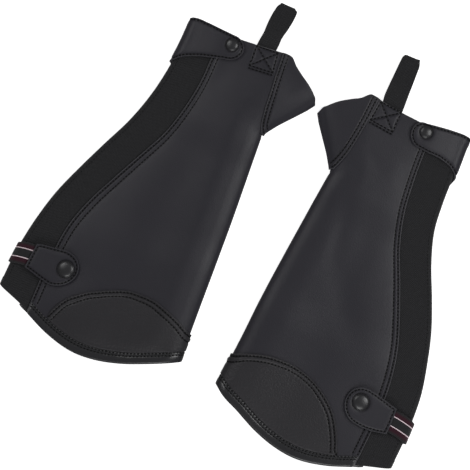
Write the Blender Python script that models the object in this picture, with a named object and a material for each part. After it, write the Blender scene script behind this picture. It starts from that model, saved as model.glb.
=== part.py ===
"""A pair of half chaps laid flat, outer sides up, ankle ends toward +Y.

Each chap is one flattened sleeve with a skin worked out from its plan outline and its section. Its panels
are cells of that skin, given a wall between two depths. Sizes are in millimetres, and MM turns them into
Blender's metres. In a chap's own plan, "across" runs back from the shin fold and "along" runs from the
instep corner toward the calf hem; "share" is 0 at the calf hem and 1 at the ankle hem.
"""

from math import cos, pi, radians, sin

import bmesh
import bpy
import numpy as np

MM = 0.001
TOP, UNDER = 1, -1

# Walls and gaps
GAP = 0.3
LEATHER = 1.5
WEBBING = 1.2
ELASTIC = 1.2
TAPE = 0.8
BINDING = 1.2
LAP = LEATHER + GAP  # depth of what lies behind the leather

# Where each chap lies: the instep corner and the turn of its length
CHAPS = {
    "left": {"side": -1, "corner": (27.05, 98.9), "turn": -20.0},
    "right": {"side": 1, "corner": (94.05, 61.9), "turn": -28.9},
}

# Outline
CALF_SHIN = {"left": 238.2, "right": 237.3}  # along, where the shin fold meets the calf hem
CALF_BACK = 228.5
ANKLE_BACK = {"left": -83.5, "right": -88.0}
INSTEP_SHARE = 0.76  # share up at which the instep fold leaves the shin fold
INSTEP_TIP = (-38.3, -47.8)
CALF_FADE, ANKLE_FADE = 3.0, 5.0  # how fast each hem's curve dies out away from it


def table(names, *rows):
    """The columns of a table, by name."""
    return dict(zip(names.split(), np.array(rows, float).T))


# The shin fold, the cut edge of the leather over the elastic, and the elastic's outermost line
SIDES = table(
    "along left_fold left_seam left_back right_fold right_seam right_back",
    (-88, 0.0, 71.4, 105.1, 0.0, 71.0, 106.0),
    (-60, 0.0, 74.0, 107.1, 0.0, 73.8, 110.0),
    (-30, 0.0, 76.2, 111.6, 0.0, 78.6, 114.0),
    (0, 0.0, 82.3, 118.9, 0.0, 85.5, 120.3),
    (30, -0.3, 92.2, 130.1, -0.2, 97.3, 133.6),
    (60, -0.7, 108.2, 145.3, -0.2, 114.0, 150.9),
    (90, -1.0, 124.7, 160.0, -0.2, 130.2, 166.6),
    (120, -0.9, 140.2, 173.4, 0.0, 144.6, 178.4),
    (150, -0.7, 151.3, 183.0, 0.6, 153.8, 187.9),
    (180, -0.4, 156.3, 189.9, 2.0, 159.1, 193.0),
    (245, -0.2, 161.1, 197.1, 3.2, 163.5, 197.5),
)
# How far the corner between the two folds is drawn in
PINCH = table(
    "share inward",
    (0.755, 0),
    (0.77, 1.15),
    (0.78, 2.2),
    (0.795, 2.65),
    (0.835, 2.7),
    (0.86, 2.3),
    (0.911, 0.9),
    (0.961, -0.3),
    (1, 0),
)
CALF_HEM = table(
    "across left_along right_along",
    (0, CALF_SHIN["left"], CALF_SHIN["right"]),
    (10, 242.7, 243.0),
    (30, 250.9, 249.7),
    (55, 259.8, 258.5),
    (80, 265.0, 263.7),
    (102, 265.4, 264.2),
    (135, 256.2, 255.4),
    (160, 243.8, 243.4),
    (196, CALF_BACK, CALF_BACK),
)
ANKLE_HEM = table(
    "across left_along right_along",
    (INSTEP_TIP[0], INSTEP_TIP[1], INSTEP_TIP[1]),
    (-37.3, -52.0, -53.0),
    (-34.5, -56.0, -57.2),
    (-28, -62.3, -65.3),
    (-16, -71.0, -75.5),
    (-8, -77.4, -81.4),
    (-2, -83.7, -88.5),
    (4, -85.2, -89.3),
    (12, -84.7, -88.3),
    (60, -83.0, -88.3),
    (110, ANKLE_BACK["left"], ANKLE_BACK["right"]),
)

# Section: heights of the flattened sleeve over its underside
HEIGHTS = table(
    "share shin middle back",
    (0.00, 16.5, 13.0, 9.5),
    (0.25, 16.5, 12.5, 9.5),
    (0.50, 16.0, 12.0, 9.5),
    (0.76, 14.5, 11.5, 9.5),
    (1.00, 13.0, 12.0, 10.0),
)
SHIN_ROUND = {TOP: 16.0, UNDER: 8.0}  # how far in from a fold its rounding reaches
BACK_ROUND = {TOP: 7.0, UNDER: 5.0}
FOLD_LEVEL = 0.42  # height of a fold's outermost line, as a share of the section
CROWN_END = 80.0  # across, where the shin's crown has sunk to the middle's height
REST_LIFT = LEATHER + GAP  # the ends are held up by what is sewn under them
LIFTS = table("share lift", (0.0, 1), (0.28, 1), (0.40, 0), (0.62, 0), (0.73, 1), (1.0, 1))

# The ring's columns near the shin fold: distance from it, plus a share of the instep's reach
SHIN_COLUMNS = table(
    "base reach",
    (0.5, 0.02),
    (1.4, 0.08),
    (2.6, 0.22),
    (3.8, 0.88),  # the leather's edge under the instep piece
    (5.0, 1.08),  # the instep piece's cut edge
    (10.0, 1.15),
    (17.0, 1.25),
)
INSTEP_UNDERLAP, INSTEP_EDGE = 3, 4  # rows of the table above
TUCK = 8.0  # how far a panel runs on behind the one that covers it
PATCH_STOP = 21.0  # from the seam to the half moon's back end
PATCH_WRAP = 22.0  # how far the half moon runs on under the shin fold
UNDER_LEATHER, UNDER_ELASTIC = 26.0, 16.0  # edges on the underside, from the back edge

# Height of the half moon's edge over the calf hem; away from it, a quiet row of cells
HALF_MOON = table(
    "from_shin left_rise right_rise",
    (-190, 30, 30),
    (-60, 20, 20),
    (-PATCH_WRAP, 12, 12),
    (0, 27.5, 29.8),
    (15, 42.4, 46.6),
    (30, 54.9, 58.2),
    (45, 65.4, 67.5),
    (60, 71.0, 74.0),
    (74, 73.2, 76.3),
    (87, 70.6, 75.3),
    (100, 64.9, 70.2),
    (110, 58.6, 63.2),
    (120, 48.9, 52.7),
    (129, 37.3, 38.2),
    (135, 24.6, 26.0),
    (139, 14.0, 16.5),
    (143, 12, 12),
    (160, 20, 20),
    (196, 30, 30),
)
BINDING_WIDTH = 9.5
BINDING_STOP = 1.0  # how far short of the leather's edges it stops
SLANT_GAP = 0.45  # a gap measured along the chap, where the edges run slantwise
ROWS_TO_INSTEP, ROWS_TO_ANKLE = 6, 4
TOP_COLUMNS, UNDER_COLUMNS = 5, 3  # over the middle of the leather

# Tabs: edges along, by distance in from the back edge (minus on the underside), and height over the skin
ANKLE_TAB = {
    "left": table(
        "reach stand near far",
        (47, 2.6, -84.7, -58.9),
        (36, 2.6, -85.8, -56.3),
        (18, 1.0, -87.7, -51.2),
        (6, -0.5, -88.3, -45.0),
        (1.5, -0.7, -87.3, -40.2),
        (0, -0.7, -86.3, -38.4),
        (-1.5, -0.7, -86.0, -37.0),
        (-6, GAP, -85.0, -37.5),
        (-24, GAP, -81.0, -44.0),
        (-41, GAP, -79.0, -49.0),
    ),
    "right": table(
        "reach stand near far",
        (47, 2.6, -90.0, -65.0),
        (36, 2.6, -92.8, -65.1),
        (18, 1.0, -96.8, -65.6),
        (6, -0.5, -98.4, -62.0),
        (1.5, -0.6, -98.0, -58.0),
        (0, -0.6, -97.3, -54.5),
        (-1.5, -0.6, -96.0, -49.0),
        (-6, GAP, -93.0, -45.5),
        (-24, GAP, -87.0, -52.0),
        (-41, GAP, -84.0, -60.0),
    ),
}
CALF_TAB = {
    "left": table(
        "reach stand near far",
        (46, 2.7, 174.6, 211.9),
        (34, 2.7, 175.8, 208.6),
        (25, 2.7, 176.6, 205.9),
        (17.5, 2.7, 177.8, 203.8),
    ),
    "right": table(
        "reach stand near far",
        (54, 2.7, 169.7, 206.6),
        (46, 2.7, 170.2, 206.5),
        (34, 2.7, 171.9, 204.4),
        (21.3, 2.7, 173.6, 200.4),
    ),
}
CALF_STRAP = {
    "left": table(
        "reach stand near far",
        (28, 1.2, 179.0, 202.4),
        (17, 1.2, 179.1, 202.7),
        (9, 0.4, 179.6, 203.3),
        (4, -0.4, 180.3, 204.3),
        (0, -0.8, 181.2, 205.2),
        (-4, -0.6, 181.8, 205.5),
        (-22, GAP, 181.0, 204.5),
        (-40, GAP, 180.0, 203.5),
    ),
    "right": table(
        "reach stand near far",
        (31, 1.2, 174.8, 198.3),
        (20, 1.2, 174.8, 198.4),
        (8, 0.8, 175.5, 199.2),
        (2, 0.2, 176.4, 200.8),
        (0, 0.1, 177.0, 201.6),
        (-4, 0.2, 177.4, 201.8),
        (-22, GAP, 176.5, 200.0),
        (-40, GAP, 175.5, 199.0),
    ),
}
ANKLE_TIP = {"left": 14.8, "right": 11.2}  # length of each tab's round end
CALF_TIP = {"left": 22.0, "right": 19.0}
TIP_ANGLES = (14, 34, 60)  # where the round end has its points, from its middle line
TAB_ROWS = 4

# Snaps: radius and height of the cap, its place as distances from the back edge and along
SNAPS = {
    "ankle": {"radius": 6.5, "rise": 2.4, "left": (48.8, -74.9), "right": (43.8, -82.2)},
    "calf": {"radius": 8.5, "rise": 3.0, "left": (55.4, 191.9), "right": (57.7, 184.8)},
}
SNAP_SIDES = 24
SNAP_CAP = ((0, 1), (0.47, 0.93), (0.81, 0.73), (0.95, 0.5), (1, 0.3), (1, 0.12), (0.9, 0), (0, 0))
SNAP_GAP = 0.65  # to the sloping tab and leather, at the middle of the snap
SOCKET = 0.72  # radius of the joined socket and stud, as a share of the cap's

# Stirrup: an elastic loop, sewn in behind both layers of the ankle hem
STIRRUP_IN = 21.0
STIRRUPS = {
    "left": {"root": 26.2, "near": 47.2, "far": 48.4, "under_shift": -1.5},
    "right": {"root": 23.7, "near": 53.4, "far": 55.6, "under_shift": 0.0},
}  # near and far: how far each edge reaches out from the hem
# Its two edges from the middle of its root, from the hem (step 0) out to the tip (step 1)
STIRRUP_EDGES = table(
    "step left_near left_far right_near right_far",
    (0, -10.0, 10.0, -11.0, 11.0),
    (0.12, -10.8, 9.1, -12.6, 10.1),
    (0.3, -11.0, 7.7, -13.6, 8.7),
    (0.55, -13.5, 7.1, -14.4, 7.0),
    (0.8, -15.4, 5.4, -15.2, 5.1),
    (1, -15.8, 3.1, -15.7, 3.5),
)
STIRRUP_BEND = 1.4  # radius of the fold at its tip, to the middle of the elastic
STIRRUP_STEPS = (0.12, 0.3, 0.55, 0.8, 1.0)  # where the elastic has its points, from the hem to the tip
STIRRUP_INSIDE = (1.0, 0.68, 0.37, 0.05)  # and inside the sleeve, from its sewn end to the hem
STIRRUP_GAP = 0.2  # more than the leather's lap, between its sewn ends and the leather
STIRRUP_FALL, STIRRUP_CLIMB = 0.6, 0.5  # how far out it comes down to the fold's two levels
FOLD_ANGLES = (45, 90, 135)

# Zip slider, on the underside beneath the ankle tab
SLIDER = (7.0, 12.0, 2.2)
SLIDER_ALONG = {"left": -60.0, "right": -68.0}

# How finely the skin is worked out
CLOSE_IN = 12  # rounds to find the share up of a plan position
SEAM_ROUNDS = 3  # rounds to bring a seam's column onto the seam's line
LENGTH_SAMPLES = 26  # along a column's calf half
BACK_REACH, BACK_SAMPLES = 90.0, 61  # in from the back edge, over each layer
SHARP = 40  # degrees between two faces that are shaded apart

# Colours and finish
FINISH = {
    "leather": ("36353A", 0.50, 0.0),
    "patch_leather": ("343436", 0.55, 0.0),
    "elastic": ("262626", 0.85, 0.0),
    "webbing": ("2B2628", 0.80, 0.0),
    "binding": ("222224", 0.35, 0.0),
    "zip_tape": ("1C1C1D", 0.85, 0.0),
    "snap": ("141416", 0.22, 0.6),
    "slider": ("3A3A3C", 0.35, 0.9),
}


def smoothstep(value):
    """0 below 0, 1 above 1, and a soft rise between them."""
    value = np.clip(value, 0, 1)
    return value * value * (3 - 2 * value)


def through(knots, values, at):
    """A curve through a table's rows, with each row's slope taken from its neighbours."""
    at = np.clip(at, knots[0], knots[-1])
    slopes = np.gradient(values, knots)
    low = np.clip(np.searchsorted(knots, at) - 1, 0, len(knots) - 2)
    step = knots[low + 1] - knots[low]
    part = (at - knots[low]) / step
    rest = 1 - part
    ends = rest * rest * (1 + 2 * part) * values[low] + part * part * (3 - 2 * part) * values[low + 1]
    return ends + part * rest * step * (rest * slopes[low] - part * slopes[low + 1])


class Skin:
    """The outer surface of one flattened chap, over its plan."""

    def __init__(self, chap):
        self.chap = chap

    def beyond(self, share):
        """How far up the instep fold a share lies, from 0 at its corner to 1 at its tip."""
        return np.maximum((share - INSTEP_SHARE) / (1 - INSTEP_SHARE), 0)

    def fold(self, share):
        """Across and along of the shin fold, then of the instep fold."""
        climb = np.minimum(share / INSTEP_SHARE, 1)
        beyond = self.beyond(share)
        pinch = np.interp(share, PINCH["share"], PINCH["inward"])
        along = CALF_SHIN[self.chap] * (1 - climb) + INSTEP_TIP[1] * beyond
        return self.side_line("fold", along) + INSTEP_TIP[0] * beyond + pinch, along

    def back(self, share):
        """Across and along of the back edge, which lies a lap outside the elastic."""
        along = CALF_BACK + (ANKLE_BACK[self.chap] - CALF_BACK) * share
        return self.side_line("back", along) + LAP, along

    def side_line(self, name, along):
        return through(SIDES["along"], SIDES[f"{self.chap}_{name}"], along)

    def along(self, across, share):
        """Plan position along, by blending the two edges and the two curved hems."""
        fold_across, fold_along = self.fold(share)
        back_across, back_along = self.back(share)
        part = np.clip((across - fold_across) / (back_across - fold_across), 0, 1)
        calf = through(CALF_HEM["across"], CALF_HEM[f"{self.chap}_along"], part * CALF_HEM["across"][-1])
        calf -= CALF_SHIN[self.chap] * (1 - part) + CALF_BACK * part
        hem_across = INSTEP_TIP[0] + part * (self.back(1.0)[0] - INSTEP_TIP[0])
        ankle = through(ANKLE_HEM["across"], ANKLE_HEM[f"{self.chap}_along"], hem_across)
        ankle -= INSTEP_TIP[1] * (1 - part) + ANKLE_BACK[self.chap] * part
        straight = fold_along + (back_along - fold_along) * part
        return straight + (1 - share) ** CALF_FADE * calf + share**ANKLE_FADE * ankle

    def height(self, side, across, share):
        """Height of the top layer or the underside, rounded at both folds."""
        from_fold = np.maximum(across - self.fold(share)[0], 0)
        from_back = np.maximum(self.back(share)[0] - across, 0)
        part = from_fold / (from_fold + from_back)
        names = ("shin", "middle", "back")
        shin, middle, back = (through(HEIGHTS["share"], HEIGHTS[name], share) for name in names)
        crown = 1 - smoothstep((from_fold - SHIN_ROUND[TOP]) / (CROWN_END - SHIN_ROUND[TOP]))
        full = middle + (shin - middle) * crown + (back - middle) * smoothstep(2 * part - 1)
        level = FOLD_LEVEL * (shin + (back - shin) * smoothstep(part))
        shin_bend = 1 - np.minimum(from_fold / SHIN_ROUND[side], 1)
        back_bend = 1 - np.minimum(from_back / BACK_ROUND[side], 1)
        open_share = np.sqrt((1 - shin_bend**2) * (1 - back_bend**2))
        flat = full if side == TOP else 0
        lift = REST_LIFT * smoothstep(np.interp(share, LIFTS["share"], LIFTS["lift"]))
        return lift + level + (flat - level) * open_share

    def point(self, side, across, share):
        return np.array([across, self.along(across, share), self.height(side, across, share)])

    def share_at(self, across, along):
        """The share up at which a plan position lies, closed in on step by step."""
        length = CALF_BACK - ANKLE_BACK[self.chap]
        share = (CALF_BACK - along) / length + 0 * across
        for _ in range(CLOSE_IN):
            share = np.clip(share + (self.along(across, share) - along) / length, 0, 1)
        return share

    def back_ring(self, reach, along, stand):
        """A point that stands off the skin near the back edge: reach is negative on the underside."""
        away = BACK_REACH * np.linspace(0, 1, BACK_SAMPLES) ** 2
        across = self.side_line("back", along) + LAP - away
        share = self.share_at(across, along)
        inward = self.back(share)[0] - away
        levels = [self.height(side, inward, share) for side in (UNDER, TOP)]
        reaches = np.append(-away[:0:-1], away)
        across = np.append(across[:0:-1], across)
        level = np.append(levels[0][:0:-1], levels[1])
        turn = np.gradient(across), np.gradient(level)
        size = np.hypot(*turn)
        lines = (across, level, turn[0] / size, turn[1] / size)
        across, level, run, climb = (np.interp(reach, reaches, line) for line in lines)
        return np.array([across + stand * climb, along, level - stand * run])


def ring_columns(skin, share):
    """The ring at one share up: each column's name, side and across, from the back edge over the top."""
    fold = skin.fold(share)[0]
    back, back_along = skin.back(share)
    seam = skin.side_line("seam", back_along)
    for _ in range(SEAM_ROUNDS):
        seam = skin.side_line("seam", skin.along(seam, share))
    near_shin = fold + SHIN_COLUMNS["base"] - INSTEP_TIP[0] * skin.beyond(share) * SHIN_COLUMNS["reach"]
    patch_end = seam - PATCH_STOP
    wrap_end = near_shin[-1] + PATCH_WRAP - SHIN_COLUMNS["base"][-1]
    bend = 1 - cos(pi / 4)
    yield "back", TOP, back
    yield "back_top_bend", TOP, back - BACK_ROUND[TOP] * bend
    yield "back_top", TOP, back - BACK_ROUND[TOP]
    yield "elastic_middle", TOP, (back - BACK_ROUND[TOP] + seam) / 2
    yield "seam", TOP, seam
    yield "seam_tuck", TOP, seam - TUCK
    yield "patch_end", TOP, patch_end
    for step in range(1, TOP_COLUMNS + 1):
        yield f"top_{step}", TOP, patch_end + (near_shin[-1] - patch_end) * step / (TOP_COLUMNS + 1)
    for step in reversed(range(len(near_shin))):
        yield f"shin_top_{step}", TOP, near_shin[step]
    yield "shin", TOP, fold
    for step in range(len(near_shin) - 1):
        yield f"shin_under_{step}", UNDER, near_shin[step]
    yield "patch_wrap", UNDER, wrap_end
    leather_tuck = back - UNDER_LEATHER - TUCK
    for step in range(1, UNDER_COLUMNS + 1):
        yield f"under_{step}", UNDER, wrap_end + (leather_tuck - wrap_end) * step / (UNDER_COLUMNS + 1)
    yield "leather_tuck", UNDER, leather_tuck
    yield "leather_edge", UNDER, back - UNDER_LEATHER
    yield "elastic_edge", UNDER, back - UNDER_ELASTIC
    yield "elastic_tuck", UNDER, back - UNDER_ELASTIC + TUCK
    yield "back_under", UNDER, back - BACK_ROUND[UNDER]
    yield "back_under_bend", UNDER, back - BACK_ROUND[UNDER] * bend


class Grid:
    """Points and normals of the skin, on columns that follow the seams and rows that follow the edges."""

    def __init__(self, skin):
        self.skin = skin
        self.names = [name for name, _, _ in ring_columns(skin, 0.5)]
        self.points = np.array([self.column(number) for number in range(len(self.names))])
        self.rows = self.points.shape[1]
        self.instep_row = self.rows - 1 - ROWS_TO_ANKLE
        self.normals = self.vertex_normals()

    def at(self, number, share):
        _, side, across = list(ring_columns(self.skin, share))[number]
        return self.skin.point(side, across, share)

    def column(self, number):
        """One column's points, from the calf hem to the ankle hem."""
        shares = np.linspace(0, 0.5, LENGTH_SAMPLES)
        line = np.array([self.at(number, share) for share in shares])
        length = np.append(0, np.cumsum(np.linalg.norm(np.diff(line, axis=0), axis=1)))
        _, side, across = list(ring_columns(self.skin, 0.1))[number]
        rise = np.interp(side * across, HALF_MOON["from_shin"], HALF_MOON[f"{self.skin.chap}_rise"])
        rises = [0, BINDING_WIDTH, BINDING_WIDTH + SLANT_GAP, (BINDING_WIDTH + rise) / 2, rise]
        low = list(np.interp(rises, length, shares))
        middle = np.linspace(low[-1], INSTEP_SHARE, ROWS_TO_INSTEP + 1)[1:]
        high = np.linspace(INSTEP_SHARE, 1, ROWS_TO_ANKLE + 1)[1:]
        return [self.at(number, share) for share in (*low, *middle, *high)]

    def vertex_normals(self):
        """Outward normals, from the faces round each point."""
        sums = np.zeros_like(self.points)
        for column, row in self.cells("back", "back_under_bend", 0, self.rows - 1, closed=True):
            corners = self.corners(column, row)
            a, b, c, d = (self.points[corner] for corner in corners)
            normal = np.cross(c - a, d - b)
            for corner in corners:
                sums[corner] += normal / np.linalg.norm(normal)
        return sums / np.linalg.norm(sums, axis=2)[:, :, None]

    def corners(self, column, row):
        after = (column + 1) % len(self.names)
        return (column, row), (after, row), (after, row + 1), (column, row + 1)

    def cells(self, first, last, low, high, closed=False):
        """The cells between two columns, going round the ring, and between two rows."""
        start, count = self.names.index(first), len(self.names)
        width = (self.names.index(last) - start) % count + closed
        return [((start + step) % count, row) for step in range(width) for row in range(low, high)]

    def at_depth(self, corner, depth):
        return self.points[corner] - depth * self.normals[corner]


def wall(grid, cells, outer, inner):
    """Points and faces of a closed wall over these cells, between two depths."""
    numbers = {}
    points, faces, edges = [], [], {}

    def number(corner, depth):
        if (corner, depth) not in numbers:
            numbers[corner, depth] = len(points)
            points.append(grid.at_depth(corner, depth))
        return numbers[corner, depth]

    for cell in cells:
        a, b, c, d = grid.corners(*cell)
        for face in ((a, b, c), (a, c, d)):
            faces.append([number(corner, outer) for corner in face])
            faces.append([number(corner, inner) for corner in reversed(face)])
        for edge in ((a, b), (b, c), (c, d), (d, a)):
            if edges.pop(edge[::-1], None) is None:
                edges[edge] = True
    for start, end in edges:
        low, high = number(start, inner), number(end, inner)
        faces.append([number(end, outer), number(start, outer), low])
        faces.append([number(end, outer), low, high])
    return points, faces


def strip(outer, inner):
    """Points and faces of a closed strip between two grids of points of one shape."""
    outer, inner = np.array(outer), np.array(inner)
    lines, width = outer.shape[:2]
    points = np.concatenate([outer.reshape(-1, 3), inner.reshape(-1, 3)])
    deep = lines * width
    faces = []

    def quad(a, b, c, d):
        faces.extend([(a, b, c), (a, c, d)])

    for line in range(lines - 1):
        for step in range(width - 1):
            a = line * width + step
            quad(a, a + 1, a + width + 1, a + width)
            quad(deep + a, deep + a + width, deep + a + width + 1, deep + a + 1)
        for a in (line * width, line * width + width - 1):
            turn = (a, a + width, deep + a + width, deep + a)
            quad(*(turn if a % width == 0 else turn[::-1]))
    for step in range(width - 1):
        for a in (step, deep - width + step):
            turn = (a + 1, a, deep + a, deep + a + 1)
            quad(*(turn if a < width else turn[::-1]))
    return points, faces


def binding_section(grid, column):
    """The binding's outer and inner points at one column, from its outside leg over the hem."""
    depths = (-GAP - BINDING, -GAP, LAP, LAP + BINDING)
    high, low = ([grid.at_depth((column, row), depth) for depth in depths] for row in (1, 0))
    over = (low[0] - high[0]) / np.linalg.norm(low[0] - high[0])
    near, far = over * SLANT_GAP, over * (SLANT_GAP + BINDING)
    outer = [high[0], low[0] + far, low[3] + far, high[3]]
    inner = [high[1], low[1] + near, low[2] + near, high[2]]
    return np.array([outer, inner])


def binding_strip(grid):
    """A folded strip over the calf hem of the leather: one leg outside, one inside."""
    columns = range(grid.names.index("seam"), grid.names.index("leather_edge") + 1)
    sections = [binding_section(grid, column) for column in columns]
    for end, beside in ((0, 1), (-1, -2)):
        away = sections[beside] - sections[end]
        sections[end] = sections[end] + away * BINDING_STOP / np.linalg.norm(away, axis=2)[:, :, None]
    return strip([outer for outer, _ in sections], [inner for _, inner in sections])


def tab_strip(rows, tip, skin, thickness):
    """A tab or strap round the back edge, standing off the skin, with a round end if tip is set."""
    near, far = rows["near"], rows["far"]
    lines = []
    if tip:
        middle, half = (near[0] + far[0]) / 2, (far[0] - near[0]) / 2
        for angle in TIP_ANGLES:
            out = radians(angle)
            width = half * sin(out)
            reach = rows["reach"][0] + tip * cos(out)
            lines.append((reach, middle - width, middle + width, rows["stand"][0]))
    lines += list(zip(rows["reach"], near, far, rows["stand"]))
    outer, inner = [], []
    for reach, start, end, stand in lines:
        places = np.linspace(start, end, TAB_ROWS + 1)
        outer.append([skin.back_ring(reach, along, stand + thickness) for along in places])
        inner.append([skin.back_ring(reach, along, stand) for along in places])
    return strip(outer, inner)


def turned(profile, centre):
    """A round solid: profile is (radius, height) rows from the top's middle to the underside's."""
    points, faces = [], []
    rings = []
    for radius, height in profile:
        count = SNAP_SIDES if radius else 1
        rings.append(range(len(points), len(points) + count))
        for step in range(count):
            angle = 2 * pi * step / count
            points.append(np.add(centre, (radius * cos(angle), radius * sin(angle), height)))
    for upper, lower in zip(rings, rings[1:]):
        for step in range(SNAP_SIDES):
            after = (step + 1) % SNAP_SIDES
            if len(upper) > 1:
                faces.append((upper[after], upper[step], lower[step % len(lower)]))
            if len(lower) > 1:
                faces.append((upper[after % len(upper)], lower[step], lower[after]))
    return points, faces


def snap_parts(skin, name):
    """The cap on a tab, and the joined socket and stud between the tab and the leather."""
    snap = SNAPS[name]
    radius, rise = snap["radius"], snap["rise"]
    reach, along = snap[skin.chap]
    stand = {"ankle": ANKLE_TAB, "calf": CALF_TAB}[name][skin.chap]["stand"][0]
    seat = skin.back_ring(reach, along, 0)
    over = seat + (0, 0, stand + LEATHER + SNAP_GAP)
    cap = [(radius * across, rise * height) for across, height in SNAP_CAP]
    inner = radius * SOCKET
    low, high = SNAP_GAP, stand - SNAP_GAP
    socket = [(0, high), (inner, high), (inner, low), (0, low)]
    return turned(cap, over), turned(socket, seat)


def stirrup_edge(skin, edge):
    """One edge of the stirrup: out from behind the top layer, over a fold, and back underneath."""
    lie = STIRRUPS[skin.chap]
    steps = np.array(STIRRUP_STEPS)
    across = lie["root"] + through(STIRRUP_EDGES["step"], STIRRUP_EDGES[f"{skin.chap}_{edge}"], steps)
    sewn = lie["root"] + STIRRUP_EDGES[f"{skin.chap}_{edge}"][0]
    hem = skin.along(lie["root"], 1.0)
    half = ELASTIC / 2
    tip = hem - lie[edge] + STIRRUP_BEND + half
    rest = half + 2 * STIRRUP_BEND
    inside = hem + STIRRUP_IN * np.array(STIRRUP_INSIDE)
    outside = hem + (tip - hem) * steps
    path = []  # across, along, height of the elastic's middle
    for along in inside:
        level = skin.height(TOP, sewn, skin.share_at(sewn, along)) - LAP - STIRRUP_GAP - half
        path.append((sewn, along, level))
    for step, place, along in zip(steps, across, outside):
        fall = smoothstep(step / STIRRUP_FALL)
        path.append((place, along, level + (rest - level) * fall))
    for angle in FOLD_ANGLES:
        out = radians(angle)
        path.append((across[-1], tip - STIRRUP_BEND * sin(out), rest - STIRRUP_BEND * (1 - cos(out))))
    under = REST_LIFT + LAP + STIRRUP_GAP + half
    for step, place, along in zip(steps[::-1], across[::-1], outside[::-1]):
        rise = 1 - smoothstep(step / STIRRUP_CLIMB)
        path.append((place + lie["under_shift"] * step, along, half + (under - half) * rise))
    for along in inside[::-1]:
        path.append((sewn, along, under))
    return np.array(path)


def stirrup_strip(skin):
    """The stirrup's elastic, with a thickness, between its two edges."""
    outer, inner = [], []
    for edge in ("near", "far"):
        path = stirrup_edge(skin, edge)
        slope = np.gradient(path[:, 1:], axis=0)
        slope /= np.linalg.norm(slope, axis=1)[:, None]
        shift = ELASTIC / 2 * np.stack([0 * slope[:, 0], slope[:, 1], -slope[:, 0]], axis=1)
        outer.append(path + shift)
        inner.append(path - shift)
    return strip(outer, inner)


def slider_box(skin):
    """The closed zip's slider, in the slot between the leather and the elastic of the underside."""
    along = SLIDER_ALONG[skin.chap]
    across = skin.side_line("back", along) + LAP - (UNDER_LEATHER + UNDER_ELASTIC) / 2
    level = REST_LIFT + LAP + ELASTIC - GAP - SLIDER[2] / 2
    points = []
    for end in np.ndindex(2, 2, 2):
        points.append(np.add((across, along, level), np.multiply(SLIDER, np.array(end) - 0.5)))
    faces = [(0, 1, 3, 2), (4, 6, 7, 5), (0, 4, 5, 1), (2, 3, 7, 6), (0, 2, 6, 4), (1, 5, 7, 3)]
    return points, faces


def linear(code):
    """A hex sRGB colour as linear RGBA."""
    values = [int(code[at : at + 2], 16) / 255 for at in (0, 2, 4)]
    return [v / 12.92 if v <= 0.04045 else ((v + 0.055) / 1.055) ** 2.4 for v in values] + [1.0]


def finish(name):
    """The material of this name, made on first use."""
    if name in bpy.data.materials:
        return bpy.data.materials[name]
    colour, roughness, metallic = FINISH[name]
    material = bpy.data.materials.new(name)
    material.use_nodes = True
    shader = material.node_tree.nodes["Principled BSDF"]
    shader.inputs["Base Color"].default_value = linear(colour)
    shader.inputs["Roughness"].default_value = roughness
    shader.inputs["Metallic"].default_value = metallic
    return material


def add_piece(holder, name, shape, material):
    """One named object under its chap's empty, in metres, with its faces pointing out."""
    side = holder["side"]
    bm = bmesh.new()
    points, faces = shape
    verts = [bm.verts.new((side * x * MM, -y * MM, z * MM)) for x, y, z in points]
    for face in faces:
        bm.faces.new([verts[number] for number in face])
    bmesh.ops.recalc_face_normals(bm, faces=bm.faces)
    mesh = bpy.data.meshes.new(name)
    bm.to_mesh(mesh)
    bm.free()
    mesh.materials.append(finish(material))
    mesh.shade_smooth()
    mesh.set_sharp_from_angle(angle=radians(SHARP))
    piece = bpy.data.objects.new(name, mesh)
    piece.parent = holder
    bpy.context.scene.collection.objects.link(piece)
    return piece


def panels(grid):
    """The sewn panels of a chap, as name, material, cells of the skin, outer depth and inner depth."""
    top, corner = grid.rows - 1, grid.instep_row

    def round_shin(step, low):
        return grid.cells(f"shin_top_{step}", f"shin_under_{step}", low, top)

    opening, bound = round_shin(INSTEP_UNDERLAP, corner + 1), grid.cells("seam", "seam_tuck", 0, 2)
    leather = [cell for cell in grid.cells("seam", "leather_edge", 0, top) if cell not in opening]
    elastic = [cell for cell in grid.cells("elastic_edge", "seam_tuck", 0, top) if cell not in bound]
    zipper = grid.cells("leather_tuck", "elastic_tuck", 0, top)
    instep = round_shin(INSTEP_EDGE, corner)
    patch = grid.cells("patch_end", "patch_wrap", 2, 4)
    yield "body", "leather", leather, 0, LEATHER
    yield "elastic", "elastic", elastic, LAP, LAP + ELASTIC
    yield "zip_tape", "zip_tape", zipper, LAP + ELASTIC + GAP, LAP + ELASTIC + GAP + TAPE
    yield "instep", "leather", instep, -LAP, -GAP
    yield "half_moon", "patch_leather", patch, -LAP, -GAP


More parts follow.
